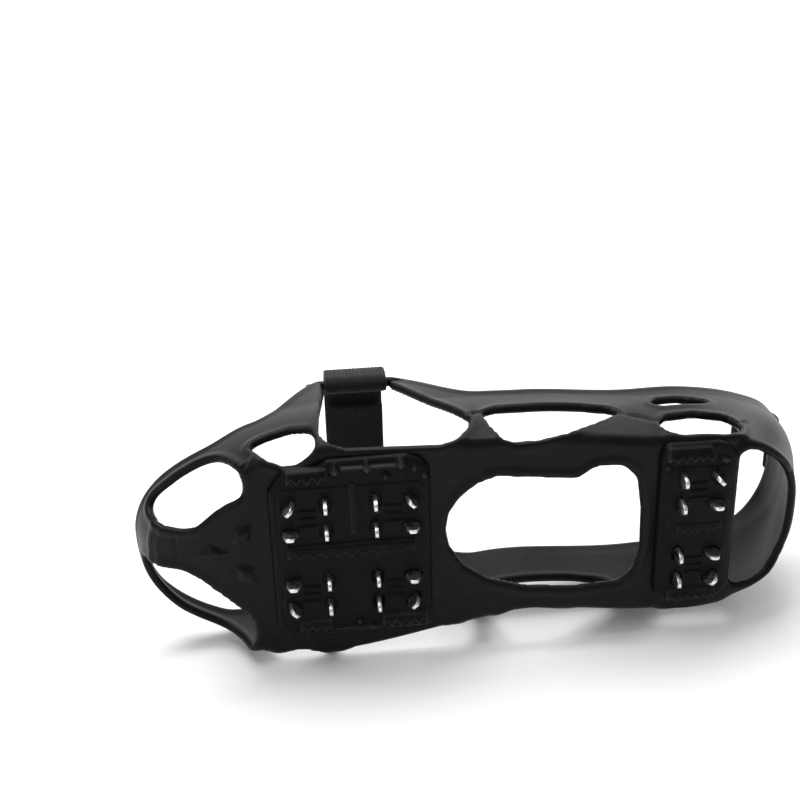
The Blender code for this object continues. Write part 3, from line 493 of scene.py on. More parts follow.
def harness_surface():
    """The moulding as one closed wall: the sheet cut by its openings, then half thickness
    sqrt(R^2 - (R - d)^2) within R of an edge, easing to the plain wall beyond it."""
    halves = [shell_side(s, STATIONS, SOLE_STEPS, EDGE_STEPS, WALL_STEPS) for s in (-1, 1)]
    grid = np.concatenate([halves[0][:, ::-1], halves[1][:, 1:]], axis=1)
    rows, columns = grid.shape[:2]
    points, tris = grid.reshape(-1, 4), grid_triangles(rows, columns)
    index = np.arange(rows * columns).reshape(rows, columns)
    merged = index.copy()
    for end in (0, rows - 1):
        merged[end, :columns // 2] = index[end, ::-1][:columns // 2]
    tris = merged.ravel()[tris]
    tris = tris[(tris != np.roll(tris, -1, axis=1)).all(1)]
    points, tris = cut_sheet(points, tris, openings(points))
    points, tris = free_bridges(points, tris)
    normals = vertex_normals(points, tris)
    if (normals[:, 1] * (points[:, 3] < -EDGE_RADIUS)).sum() > 0:
        tris, normals = tris[:, ::-1], -normals
    away = rim_distance(points, tris, 9.0)
    x, y, z, w = points.T

    bead = BEAD + 1.3 * lobe(x, w, (171.0, 0.0), (18.0, 5.0))
    bead = bead + 0.5 * lobe(x, w, (-26.0, -8.0), (14.0, 8.0))
    bead = bead + 0.4 * (w < -EDGE_RADIUS) * smooth_step((x - 40.0) / 10.0)
    plain = WALL / 2
    settle = plain + (bead - plain) * (1.0 - smooth_step((away - bead) / 4.0))
    half = np.where(away < bead, edge_round(away, bead), settle)

    relief = np.zeros(len(x))
    for a, b in FOLDS:
        relief -= FOLD_DEPTH * np.exp(-(segment_distance(x, w, a, b) / 1.0) ** 2)
    seam = np.exp(-((x - SEAM_X) / 0.7) ** 2) * (w < -3.0) * (np.abs(z - 5.0) < 30.0)
    relief -= SEAM_DEPTH * seam
    band = smooth_step((w + 2.0) / 4.0) * smooth_step((x - 60.0) / 20.0)
    band = band * smooth_step((150.0 - x) / 20.0)
    relief += BAND_HEIGHT * band * np.exp(-((w - 33.0) / 6.0) ** 2)
    for cx, cz, turn in TOE_LUGS:
        u, v = turned(x - cx, z - cz, turn)
        diamond = np.abs(u) / TOE_LUG_LENGTH + np.abs(v) / TOE_LUG_WIDTH
        relief += TOE_LUG_HEIGHT * smooth_step((1.0 - diamond) * 1.7) * (y < 9.0) * (w < 0)
    calm = smooth_step(away / 3.0)
    out_by = half - plain + relief * calm
    in_by = half + plain
    wall, tris = close_wall(points, tris, normals, out_by, in_by)
    wall[:, 2] = np.maximum(wall[:, 2], REST_LEVEL)
    return wall, tris


# ------------------------------------------------------------------ tread plates and steel
def stamping_teeth(sx, sz):
    """Teeth of a stamping as (dx, dz, turn in degrees), mirrored by the signs sx and sz."""
    step_x, step_z = TOOTH_PITCH_X / 2, TOOTH_PITCH_Z / 2
    return [(-sx * step_x, step_z, 90.0), (-sx * step_x, -step_z, 90.0),
            (sx * step_x, -sz * step_z, 0.0), (sx * step_x, sz * step_z, -sx * sz * 45.0)]


def stampings():
    """Each steel stamping: its CAD name, its centre and its teeth."""
    plates = []
    for label_x, sx in (("front", -1.0), ("rear", 1.0)):
        for label_z, sz in (("outer", 1.0), ("inner", -1.0)):
            plates.append((f"forefoot_{label_x}_{label_z}_teeth", sx * STAMP_GAP_X / 2,
                           sz * STAMP_GAP_Z / 2, stamping_teeth(sx, sz)))
    for label_z, sz in (("outer", 1.0), ("inner", -1.0)):
        plates.append((f"heel_{label_z}_teeth", PAD_SPACING, sz * STAMP_GAP_Z / 2,
                       stamping_teeth(1.0, sz)))
    return plates


def serrated(x0, x1, z, width, teeth, bite=2.6):
    """Outline of a bar along x whose lower edge is a zigzag."""
    step = (x1 - x0) / (2 * teeth)
    edge = [(x0 + i * step, z - width / 2 + (bite if i % 2 else 0.0)) for i in range(2 * teeth + 1)]
    return edge + [(x1, z + width / 2), (x0, z + width / 2)]


def diamond_outline(x, z, length, width):
    return [(x - length / 2, z), (x, z - width / 2), (x + length / 2, z), (x, z + width / 2)]


def forefoot_marks():
    """Lugs of the forefoot plate as (outline, height, slope width, share lost towards +z)."""
    marks = [(serrated(-29.0, -9.5, 42.6, 7.6, 4, 3.0), 3.8, 0.5, 0.75),
             (rectangle(-4.0, 24.0, 44.4, 46.8), 1.9, 0.6, 0.0),
             (serrated(-30.5, 30.0, 1.6, 5.2, 10, 2.2), 1.7, 0.5, 0.5),
             (rectangle(-31.0, 30.0, 5.6, 6.6), 1.7, 0.4, 0.0),
             (rectangle(-0.4, 2.6, 11.0, 38.0), 1.2, 0.6, 0.0),
             (serrated(-27.0, -11.0, -39.0, 7.4, 4, 3.0), 3.4, 0.5, 0.6),
             (serrated(13.0, 35.2, -38.6, 7.4, 5, 3.0), 3.4, 0.5, 0.6),
             (rectangle(-10.0, 12.0, -42.6, -40.6), 1.4, 0.6, 0.0)]
    for x, z in ((-6.5, 44.6), (8.4, 45.2), (24.0, 46.0)):
        marks.append((diamond_outline(x, z, 8.6, 9.2), 4.0, 3.0, 0.0))
    for x, z in ((17.0, 40.4), (30.5, 43.4), (35.0, 39.4), (8.0, -41.2), (2.0, -38.0)):
        marks.append((diamond_outline(x, z, 6.6, 6.0), 2.6, 2.0, 0.0))
    return marks


def heel_marks():
    x0, x1 = PAD_SPACING - 16.5, PAD_SPACING + 8.0
    slanted = serrated(x0, x1, 40.4, 8.0, 6, 2.4)
    slanted[-2] = (x1 - 3.5, slanted[-2][1])
    return [(slanted, 3.8, 0.5, 0.75),
            (diamond_outline(PAD_SPACING + 11.5, 36.4, 8.0, 3.8), 2.2, 1.0, 0.0),
            (diamond_outline(PAD_SPACING - 16.0, 33.5, 6.0, 3.0), 1.4, 0.8, 0.0),
            (serrated(PAD_SPACING - 10.0, PAD_SPACING + 12.0, 0.0, 5.2, 6, 2.2), 1.7, 0.5, 0.5),
            (serrated(x0 + 4.0, x1 + 4.0, -38.0, 6.6, 6, 2.6), 3.2, 0.5, 0.6)]


def tread_plate(name, outline, marks, raised, step=0.48):
    """A plate as two height fields over its plan: the lower face carries lugs, whose height is
    smooth_step(inside distance / slope) less a share lost towards +z, and a sunk socket round
    each tooth."""
    outline = np.asarray(outline)
    low, high = outline.min(0) - 2.0, outline.max(0) + 2.0
    xs = np.arange(low[0], high[0], step)
    zs = np.arange(low[1], high[1], step)
    gx, gz = np.meshgrid(xs, zs, indexing="ij")
    points = np.stack([gx, np.zeros_like(gx), gz], -1).reshape(-1, 3)
    tris = grid_triangles(len(xs), len(zs))[:, ::-1]
    field = -outline_distance(points[:, 0], points[:, 2], outline)
    points, tris = cut_sheet(points, tris, field)
    points, tris = free_bridges(points, tris)
    x, z = points[:, 0], points[:, 2]
    away = rim_distance(points, tris, 6.0)
    lugs, painted_edge_highlight = np.zeros(len(x)), np.zeros(len(x))
    for shape, height, slope, loss in marks:
        inside = -outline_distance(x, z, shape)
        floor, crest = min(p[1] for p in shape), max(p[1] for p in shape)
        fall = 1.0 - loss * np.clip((z - floor) / (crest - floor), 0.0, 1.0)
        lugs = np.maximum(lugs, height * fall * smooth_step(inside / slope))
        # The second mask is a painted highlight along each lug's crest and over the top of the
        # broad lugs. It is stronger on taller lugs and weaker towards +z.
        if slope < 1.0:
            edge = np.exp(-((inside - slope) / 0.45) ** 2)
        else:
            edge = smooth_step(inside / slope) ** 3
        painted_edge_highlight = np.maximum(painted_edge_highlight, edge * fall * min(height / 3.4, 1.0))
    inner = -outline_distance(x, z, raised)
    lugs = lugs + FIELD_HEIGHT * smooth_step(inner / 1.0)
    for stamp, cx, cz, teeth in stampings():
        if not stamp.startswith(name.split("_")[0]):
            continue
        for k in (-1.0, 0.0, 1.0):
            bar = rectangle(cx - 4.2, cx + 4.2, cz + 4 * k - 0.9, cz + 4 * k + 0.9)
            rib = -outline_distance(x, z, bar)
            lugs = np.maximum(lugs, (FIELD_HEIGHT + smooth_step(rib / 0.6)) * (rib > 0))
        for dx, dz, turn in teeth:
            u, v = turned(x - cx - dx, z - cz - dz, math.radians(turn))
            socket = 1.0 - np.hypot(u / 5.4, v / 3.4)
            collar = 1.0 - np.hypot(u / 6.6, v / 4.6)
            lugs = lugs + COLLAR_HEIGHT * smooth_step(collar * 4.0)
            lugs = lugs - SOCKET_DEPTH * smooth_step(socket * 2.2)
    drop = PLATE_SHOULDER - edge_round(away, PLATE_SHOULDER)
    lower, upper = points.copy(), points.copy()
    lower[:, 1] = TREAD_FACE + drop * 0.9 - lugs * smooth_step(away / 1.2)
    upper[:, 1] = PLATE_BACK
    count = len(points)
    a, b = open_edges(tris, count).T
    skirt = np.concatenate([np.stack([b, a, a + count], -1),
                            np.stack([b, a + count, b + count], -1)])
    tris = np.concatenate([tris, tris[:, ::-1] + count, skirt])
    return np.concatenate([lower, upper]), tris, np.concatenate([painted_edge_highlight, np.zeros(count)])


def tooth_grid(turn, cx, cz):
    """One tooth as stacked rounded-rectangle rings that narrow from root to a round tip."""
    levels = np.array([0.0, 0.45, 0.62, 0.74, 0.84, 0.91, 0.96, 0.99, 1.0])
    root, sheet = TOOTH_WIDTH / 2, TOOTH_SHEET / 2
    half = np.interp(levels, [0.0, 0.45, 0.62, 0.84, 0.96, 1.0], [root, root, 3.35, 2.5, 1.6, 0.8])
    thick = np.interp(levels, [0.0, 0.9, 0.98, 1.0], [sheet, sheet, 0.85, 0.55])
    base, tip = -GAP - 0.8, TREAD_FACE - TOOTH_HEIGHT
    ring = []
    corner = np.linspace(0.0, math.pi / 2, 4)
    for q, (su, sv) in enumerate(((1, 1), (-1, 1), (-1, -1), (1, -1))):
        arc = corner if q % 2 == 0 else corner[::-1]
        ring += [(su, sv, math.cos(t), math.sin(t)) for t in arc]
    su, sv, cu, cv = np.array(ring).T
    radius = np.minimum(0.28, thick * 0.8)[:, None]
    u = su * (half[:, None] - radius + radius * cu)
    v = sv * (thick[:, None] - radius + radius * cv)
    y = np.broadcast_to((base + (tip - base) * levels)[:, None], u.shape)
    c, s = math.cos(math.radians(turn)), math.sin(math.radians(turn))
    return np.stack([cx + c * u - s * v, y, cz + s * u + c * v], -1)


def tube_faces(rings, around, offset=0):
    """Quads between stacked rings of points, with a fan of one face at each end."""
    i = np.arange(rings * around).reshape(rings, around) + offset
    j = np.roll(i, -1, axis=1)
    quads = np.stack([i[:-1], i[1:], j[1:], j[:-1]], -1).reshape(-1, 4).tolist()
    return quads + [i[0].tolist(), i[-1][::-1].tolist()]


def fix_normals(piece):
    """Turns every closed body of a piece to face outwards."""
    mesh = bmesh.new()
    mesh.from_mesh(piece.data)
    bmesh.ops.remove_doubles(mesh, verts=mesh.verts, dist=0.000002)
    bmesh.ops.recalc_face_normals(mesh, faces=mesh.faces)
    mesh.to_mesh(piece.data)
    mesh.free()


# ------------------------------------------------------------------ strips along a path
WRAP_RADIUS = BAR_RADIUS + STRAP_CLEAR + STRAP_THICK / 2
LOOP_TAPE_LIFT = WRAP_RADIUS + STRAP_THICK / 2 + GAP + TAPE_THICK / 2
HOOK_TAPE_LIFT = LOOP_TAPE_LIFT + TAPE_THICK + GAP
OUTER_STRAP_LIFT = HOOK_TAPE_LIFT + TAPE_THICK / 2 + GAP + STRAP_THICK / 2


def bar_z(side):
    width = float(half_width(np.array([BAR_X]), side)[0])
    return side * (width - TAPER * (BAR_HEIGHT - TAPER_START) ** 2 - WALL / 2)


def arch(lift, count=180):
    """The line over the instep as (y, z): a superellipse arch raised by lift."""
    outer, inner = bar_z(1), bar_z(-1)
    centre, half = (outer + inner) / 2, (outer - inner) / 2
    angles = np.linspace(0.0, math.pi, count + 1)[1:-1]
    cosine, sine = np.cos(angles), np.sin(angles)
    z = half * np.sign(cosine) * np.abs(cosine) ** ARCH_POWER
    raised = lift(z + centre) if callable(lift) else lift
    z = (half + raised) * np.sign(cosine) * np.abs(cosine) ** ARCH_POWER
    y = BAR_HEIGHT + (STRAP_RISE + raised) * sine ** ARCH_POWER
    return np.stack([y, z + centre], axis=-1)


def over_lift(z):
    ramp = smooth_step((INNER_STRAP_END + 20.0 - z) / 14.0)
    return WRAP_RADIUS + (OUTER_STRAP_LIFT - WRAP_RADIUS) * ramp


def bar_wrap(side):
    """The sewn end of a strap: from inside the bar, under it and up its outer face."""
    angles = np.radians(np.linspace(318.0, 90.0, 28))
    y = BAR_HEIGHT + WRAP_RADIUS * np.cos(angles)
    return np.stack([y, bar_z(side) + side * WRAP_RADIUS * np.sin(angles)], axis=-1)


def even_path(path, step):
    """The same line with points a constant distance apart."""
    length = np.concatenate([[0.0], np.cumsum(np.linalg.norm(np.diff(path, axis=0), axis=1))])
    at = np.linspace(0.0, length[-1], max(int(length[-1] / step), 8) + 1)
    return np.stack([np.interp(at, length, path[:, k]) for k in range(2)], -1), at


def strip(name, path, thick, width, across, relief, round_end):
    """A strip swept along path: its section is a flat oval, relief(u, s) raises both faces, and
    its end narrows as a quarter circle round_end long. A UV map holds millimetres across and
    along, each vertex taking the length of the nearest point of the path."""
    path, at = even_path(path, 1.0)
    normal = path_normals(path)
    total = at[-1]
    shrink = np.ones(len(at))
    if round_end:
        shrink = 1.0 - (1.0 - quarter_circle((total - at) / round_end)) * END_NARROWING
    u = np.linspace(-1.0, 1.0, across + 1)
    edge = oval_edge(u, 0.94, 0.06)
    half = width / 2
    grids = []
    end_round = quarter_circle(np.minimum(at, total - at) / (thick / 2), 0.02)
    raise_by = thick / 2 * edge[None, :] + relief(u[None, :] * half, at[:, None]) * edge[None, :]
    raise_by = raise_by * end_round[:, None]
    for face in (1.0, -1.0):
        line = path[:, None, :] + face * raise_by[..., None] * normal[:, None, :]
        x = BAR_X + u[None, :] * half * shrink[:, None]
        grids.append(np.concatenate([x[..., None], line], -1))
    ring = np.concatenate([grids[0], grids[1][:, ::-1][:, 1:-1]], axis=1)
    piece = make_piece(name, ring.reshape(-1, 3), tube_faces(*ring.shape[:2]))
    fix_normals(piece)
    uv = piece.data.uv_layers.new(name="weave")
    index = np.zeros(len(piece.data.loops), int)
    piece.data.loops.foreach_get("vertex_index", index)
    co = np.zeros(len(piece.data.vertices) * 3)
    piece.data.vertices.foreach_get("co", co)
    co = co.reshape(-1, 3) / MM - ORIGIN
    gap_y, gap_z = (path[None, :, k] - co[:, k + 1, None] for k in range(2))
    near = np.argmin(gap_y ** 2 + gap_z ** 2, axis=1)
    plane = np.stack([co[:, 0] - BAR_X, at[near]], -1)
    uv.data.foreach_set("uv", plane[index].ravel())
    return piece


# ------------------------------------------------------------------ finishes
def new_group(name, ins, outs):
    group = bpy.data.node_groups.new(name, "ShaderNodeTree")
    for label, kind, value in ins:
        socket = group.interface.new_socket(label, in_out="INPUT", socket_type=kind)
        if value is not None:
            socket.default_value = value
    for label, kind in outs:
        group.interface.new_socket(label, in_out="OUTPUT", socket_type=kind)
    nodes = group.nodes
    return group, nodes.new("NodeGroupInput"), nodes.new("NodeGroupOutput")


def math_node(nodes, links, operation, a, b=None, c=None):
    node = nodes.new("ShaderNodeMath")
    node.operation = operation
    for k, value in enumerate((a, b, c)):
        if value is None:
            continue
        if isinstance(value, (int, float)):
            node.inputs[k].default_value = value
        else:
            links.new(value, node.inputs[k])
    return node.outputs[0]


def noise_node(nodes, links, vector, scale, detail=3.0, rough=0.55):
    node = nodes.new("ShaderNodeTexNoise")
    node.inputs["Scale"].default_value = scale
    node.inputs["Detail"].default_value = detail
    node.inputs["Roughness"].default_value = rough
    links.new(vector, node.inputs["Vector"])
    return node.outputs["Fac"]


def map_range(nodes, links, value, a, b, c, d):
    node = nodes.new("ShaderNodeMapRange")
    for k, v in enumerate((a, b, c, d)):
        node.inputs[k + 1].default_value = v
    links.new(value, node.inputs[0])
    return node.outputs[0]


def moulded_skin_group():
    """Skin of moulded rubber: cloudy mottling, fine pores and a little pale dust."""
    group, gin, gout = new_group("moulded_skin", [
        ("Vector", "NodeSocketVector", None), ("Scale", "NodeSocketFloat", 1.0)],
        [("Cloud", "NodeSocketFloat"), ("Pores", "NodeSocketFloat"), ("Dust", "NodeSocketFloat")])
    nodes, links = group.nodes, group.links
    scaled = nodes.new("ShaderNodeVectorMath")
    scaled.operation = "SCALE"
    links.new(gin.outputs["Vector"], scaled.inputs[0])
    links.new(gin.outputs["Scale"], scaled.inputs["Scale"])
    vector = scaled.outputs[0]
    cloud = noise_node(nodes, links, vector, 22.0, 4.0)
    fine = noise_node(nodes, links, vector, 1500.0, 3.0, 0.6)
    medium = noise_node(nodes, links, vector, 420.0, 3.0, 0.6)
    pores = math_node(nodes, links, "MULTIPLY_ADD", medium, 0.6, fine)
    spots = noise_node(nodes, links, vector, 160.0, 5.0, 0.7)
    spots = map_range(nodes, links, spots, 0.52, 0.75, 0.0, 1.0)
    dust = math_node(nodes, links, "MULTIPLY", spots, cloud)
    links.new(map_range(nodes, links, cloud, 0.3, 0.7, 0.0, 1.0), gout.inputs["Cloud"])
    links.new(pores, gout.inputs["Pores"])
    links.new(dust, gout.inputs["Dust"])
    return group


def mix_colors(nodes, links, factor, one, two):
    node = nodes.new("ShaderNodeMix")
    node.data_type = "RGBA"
    links.new(factor, node.inputs["Factor"])
    for socket, value in ((node.inputs[6], one), (node.inputs[7], two)):
        if isinstance(value, tuple):
            socket.default_value = (*value, 1.0)
        else:
            links.new(value, socket)
    return node.outputs[2]


def start_material(name):
    mat = bpy.data.materials.new(name)
    mat.use_nodes = True
    nodes, links = mat.node_tree.nodes, mat.node_tree.links
    shader = nodes["Principled BSDF"]
    coords = nodes.new("ShaderNodeTexCoord")
    return mat, nodes, links, shader, coords


def bump_into(nodes, links, shader, height, strength, distance):
    bump = nodes.new("ShaderNodeBump")
    bump.inputs["Strength"].default_value = strength
    bump.inputs["Distance"].default_value = distance
    links.new(height, bump.inputs["Height"])
    links.new(bump.outputs[0], shader.inputs["Normal"])


SKIN = moulded_skin_group()


def rubber_material(name, dark, light, dusty, rough, rough_change, bump, specular=0.5, scale=1.0,
                    painted_highlight_color=None):
    """Black elastomer: two near-black tones in clouds, pale dust specks, pored surface, and a
    painted highlight along edges where the piece has a UV map that holds how strong it is."""
    mat, nodes, links, shader, coords = start_material(name)
    skin = nodes.new("ShaderNodeGroup")
    skin.node_tree = SKIN
    skin.inputs["Scale"].default_value = scale
    links.new(coords.outputs["Object"], skin.inputs["Vector"])
    base = mix_colors(nodes, links, skin.outputs["Cloud"], dark, light)
    base = mix_colors(nodes, links, skin.outputs["Dust"], base, dusty)
    # The edge colour is mixed in as a painted highlight. Its strength is read from the UV map and
    # broken up by the pores.
    if painted_highlight_color:
        uv = nodes.new("ShaderNodeUVMap")
        uv.uv_map = "painted_edge_highlight"
        split = nodes.new("ShaderNodeSeparateXYZ")
        links.new(uv.outputs[0], split.inputs[0])
        highlight_strength = map_range(nodes, links, skin.outputs["Pores"], 0.6, 1.0, 0.55, 1.0)
        highlight_strength = math_node(nodes, links, "MULTIPLY", split.outputs[0], highlight_strength)
        base = mix_colors(nodes, links, highlight_strength, base, painted_highlight_color)
    links.new(base, shader.inputs["Base Color"])
    rough_value = map_range(nodes, links, skin.outputs["Cloud"], 0.0, 1.0,
                            rough - rough_change, rough + rough_change)
    links.new(rough_value, shader.inputs["Roughness"])
    bump_into(nodes, links, shader, skin.outputs["Pores"], bump, 0.0002)
    shader.inputs["Specular IOR Level"].default_value = specular
    return mat


def steel_material():
    """Stamped steel: bright, with rolling lines across the sheet and rubbed patches."""
    mat, nodes, links, shader, coords = start_material("stamped_steel")
    stretch = nodes.new("ShaderNodeMapping")
    stretch.inputs["Scale"].default_value = (1.0, 0.12, 1.0)
    links.new(coords.outputs["Object"], stretch.inputs["Vector"])
    lines = noise_node(nodes, links, stretch.outputs[0], 2600.0, 3.0)
    patches = noise_node(nodes, links, coords.outputs["Object"], 300.0, 3.0)
    base = mix_colors(nodes, links, patches, (0.86, 0.87, 0.88), (0.66, 0.67, 0.69))
    links.new(base, shader.inputs["Base Color"])
    shader.inputs["Metallic"].default_value = 1.0
    links.new(map_range(nodes, links, patches, 0.3, 0.7, 0.2, 0.42), shader.inputs["Roughness"])
    bump_into(nodes, links, shader, lines, 0.25, 0.0001)
    return mat


def weave_material(name, dark, light, across, along, rough, strength, fuzz=0.3):
    """Woven tape on its UV map in millimetres: sine yarns across and along, offset row by row,
    coloured darker between the yarns as painted shade.
    """
    mat, nodes, links, shader, _ = start_material(name)
    uv = nodes.new("ShaderNodeUVMap")
    uv.uv_map = "weave"
    split = nodes.new("ShaderNodeSeparateXYZ")
    links.new(uv.outputs[0], split.inputs[0])
    u, v = split.outputs[0], split.outputs[1]
    row = math_node(nodes, links, "MULTIPLY", u, 2 * math.pi / across)
    row = math_node(nodes, links, "SINE", row)
    phase = math_node(nodes, links, "MULTIPLY", v, 2 * math.pi / along)
    flip = math_node(nodes, links, "MULTIPLY", math_node(nodes, links, "SIGN", row), math.pi / 2)
    stitch = math_node(nodes, links, "SINE", math_node(nodes, links, "ADD", phase, flip))
    yarn = math_node(nodes, links, "MULTIPLY", math_node(nodes, links, "ABSOLUTE", row),
                     map_range(nodes, links, stitch, -1.0, 1.0, 0.25, 1.0))
    lint = noise_node(nodes, links, uv.outputs[0], 6.0, 4.0, 0.7)
    height = math_node(nodes, links, "MULTIPLY_ADD", lint, fuzz, yarn)
    # The colour follows yarn height. It is darker in the valleys between yarns as painted shade,
    # and lint noise adds random tone.
    level = map_range(nodes, links, height, 0.1, 1.2, 0.0, 1.0)
    links.new(mix_colors(nodes, links, level, dark, light), shader.inputs["Base Color"])
    rough_value = map_range(nodes, links, yarn, 0.0, 1.0, rough + 0.1, rough - 0.1)
    links.new(rough_value, shader.inputs["Roughness"])
    bump_into(nodes, links, shader, height, strength, 0.0004)
    shader.inputs["Sheen Weight"].default_value = 0.06
    shader.inputs["Specular IOR Level"].default_value = 0.25
    shader.inputs["Sheen Roughness"].default_value = 0.5
    return mat


HARNESS_SKIN = rubber_material("harness_rubber", (0.0022, 0.0022, 0.0025), (0.0042, 0.0043, 0.0047),
                               (0.012, 0.012, 0.0124), 0.4, 0.05, 0.22, 0.13)
# The tread rubber's last colour (0.05) is a painted highlight on the lug edges.
PLATE_SKIN = rubber_material("tread_rubber", (0.0016, 0.0016, 0.0018), (0.0032, 0.0032, 0.0035),
                             (0.012, 0.012, 0.012), 0.5, 0.06, 0.3, 0.1, 1.3, (0.05, 0.05, 0.051))
STEEL = steel_material()
# In each tape the darker colour is painted shade between the yarns. The lighter one is the yarn
# tops.
WEBBING = weave_material("strap_webbing", (0.003, 0.0031, 0.0036), (0.013, 0.0135, 0.015),
                         2.0, 1.5, 0.76, 0.8)
HOOKS = weave_material("hook_tape_fibre", (0.003, 0.003, 0.0035), (0.014, 0.014, 0.016),
                       0.8, 0.8, 0.85, 0.9, 0.8)
LOOPS = weave_material("loop_tape_fibre", (0.005, 0.005, 0.006), (0.02, 0.02, 0.022),
                       0.9, 0.7, 0.95, 0.7, 1.4)


# ------------------------------------------------------------------ pieces
def paint(piece, mat):
    piece.data.materials.clear()
    piece.data.materials.append(mat)


MOULDING = ["toe_cap", "forefoot_web", "outer_front_side", "inner_front_side", "outer_rear_side",
            "inner_rear_side", "heel_web", "heel_band"]

harness_points, harness_tris = harness_surface()
harness = make_piece("harness_moulding", harness_points, harness_tris)
paint(harness, HARNESS_SKIN)
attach(harness, "harness")
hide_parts(*MOULDING)

plate_shapes = {
    "forefoot_tread_plate": (
        [(-38, -38), (-35, -43), (-27, -46), (37, -45), (38, -40), (38, 42), (34, 47), (27, 50),
         (-10, 49.5), (-14, 46.4), (-30, 46.0), (-33, 42), (-38, 35)], forefoot_marks(),
        [(-34, -36), (35, -37), (35, 37), (-34, 37)]),
    "heel_tread_plate": (
        [(148.0, -36), (153, -41), (160, -43), (180, -42), (186, -36), (186, 37), (180, 44),
         (176, 45.5), (150, 45.5), (147.8, 38)], heel_marks(),
        [(151, -33), (183, -33), (183, 34), (151, 34)])}
for name, (outline, marks, raised) in plate_shapes.items():
    points, tris, painted_edge_highlight = tread_plate(name, round_corners(outline, 4.0), marks,
                                      round_corners(raised, 4.0))
    plate = make_piece(name + "_moulded", points, tris)
    corner = np.zeros(len(plate.data.loops), int)
    plate.data.loops.foreach_get("vertex_index", corner)
    # This UV map carries the painted highlight mask on the lug edges to the material.
    uv = plate.data.uv_layers.new(name="painted_edge_highlight")
    uv.data.foreach_set("uv", np.stack([painted_edge_highlight[corner], np.zeros(len(corner))], -1).ravel())
    plate.data.set_sharp_from_angle(angle=math.radians(60.0))
    paint(plate, PLATE_SKIN)
    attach(plate, "harness")
    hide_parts(name)

for name, cx, cz, teeth in stampings():
    points, faces = [], []
    for dx, dz, turn in teeth:
        rings = tooth_grid(turn, cx + dx, cz + dz)
        faces += tube_faces(*rings.shape[:2], offset=len(points))
        points += rings.reshape(-1, 3).tolist()
    half_x, half_z = TOOTH_PITCH_X / 2 + STAMP_MARGIN, TOOTH_PITCH_Z / 2 + STAMP_MARGIN
    outline = round_corners(rectangle(cx - half_x, cx + half_x, cz - half_z, cz + half_z), 3.0, 3)
    rings = np.stack([np.stack([outline[:, 0], np.full(len(outline), y), outline[:, 1]], -1)
                      for y in (-2 * GAP - 1.3, -2 * GAP)])
    faces += tube_faces(2, len(outline), offset=len(points))
    points += rings.reshape(-1, 3).tolist()
    steel = make_piece(name + "_steel", points, faces)
    fix_normals(steel)
    steel.data.set_sharp_from_angle(angle=math.radians(50.0))
    paint(steel, STEEL)
    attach(steel, "harness")
    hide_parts(name)

for name, side in (("outer_strap_bar", 1), ("inner_strap_bar", -1)):
    reach = STRAP_WIDTH / 2 + STRAP_SIDE_CLEAR + 9.0
    along = np.linspace(-1.0, 1.0, 61)
    radius = BAR_RADIUS * (1.0 - 0.55 * smooth_step((np.abs(along) * reach - reach + 8.0) / 8.0))
    angles = np.linspace(0.0, 2 * math.pi, 28, endpoint=False)
    ring = np.stack([np.broadcast_to((BAR_X + along * reach)[:, None], (61, 28)),
                     BAR_HEIGHT + radius[:, None] * np.cos(angles),
                     bar_z(side) + radius[:, None] * np.sin(angles)], -1)
    bar = make_piece(name + "_round", ring.reshape(-1, 3), tube_faces(61, 28))
    fix_normals(bar)
    paint(bar, HARNESS_SKIN)
    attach(bar, "harness")
    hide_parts(name)


def ribs(u, _):
    """Lengthwise ribs 2 mm apart."""
    return 0.12 * np.cos(2 * math.pi * u / 2.0)


def cross_ribs(_, s):
    """Fine ribs across the tape, 1.2 mm apart."""
    return 0.07 * np.cos(2 * math.pi * s / 1.2)


over = arch(over_lift)
over = np.concatenate([bar_wrap(1), over[over[:, 1] > OUTER_STRAP_END]])
under = arch(WRAP_RADIUS)[::-1]
under = np.concatenate([bar_wrap(-1), under[under[:, 1] < INNER_STRAP_END]])
hook = arch(HOOK_TAPE_LIFT)
hook = hook[(hook[:, 1] > OUTER_STRAP_END + 1.0) & (hook[:, 1] < INNER_STRAP_END)]
loop = arch(LOOP_TAPE_LIFT)
loop = loop[(loop[:, 1] < INNER_STRAP_END - 1.0) & (loop[:, 1] > OUTER_STRAP_END - 8.0)]
tape = STRAP_WIDTH - 2 * TAPE_MARGIN
for name, path, thick, width, relief, mat, end in (
        ("outer_strap", over, STRAP_THICK, STRAP_WIDTH, ribs, WEBBING, 10.0),
        ("inner_strap", under, STRAP_THICK, STRAP_WIDTH, ribs, WEBBING, 0.0),
        ("hook_tape", hook, TAPE_THICK, tape, cross_ribs, HOOKS, 8.0),
        ("loop_tape", loop, TAPE_THICK, tape, cross_ribs, LOOPS, 0.0)):
    piece = strip(name + "_woven", path, thick, width, 128 if relief is ribs else 40, relief, end)
    paint(piece, mat)
    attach(piece, "outer_strap" if name in ("outer_strap", "hook_tape") else "inner_strap")
    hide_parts(name)


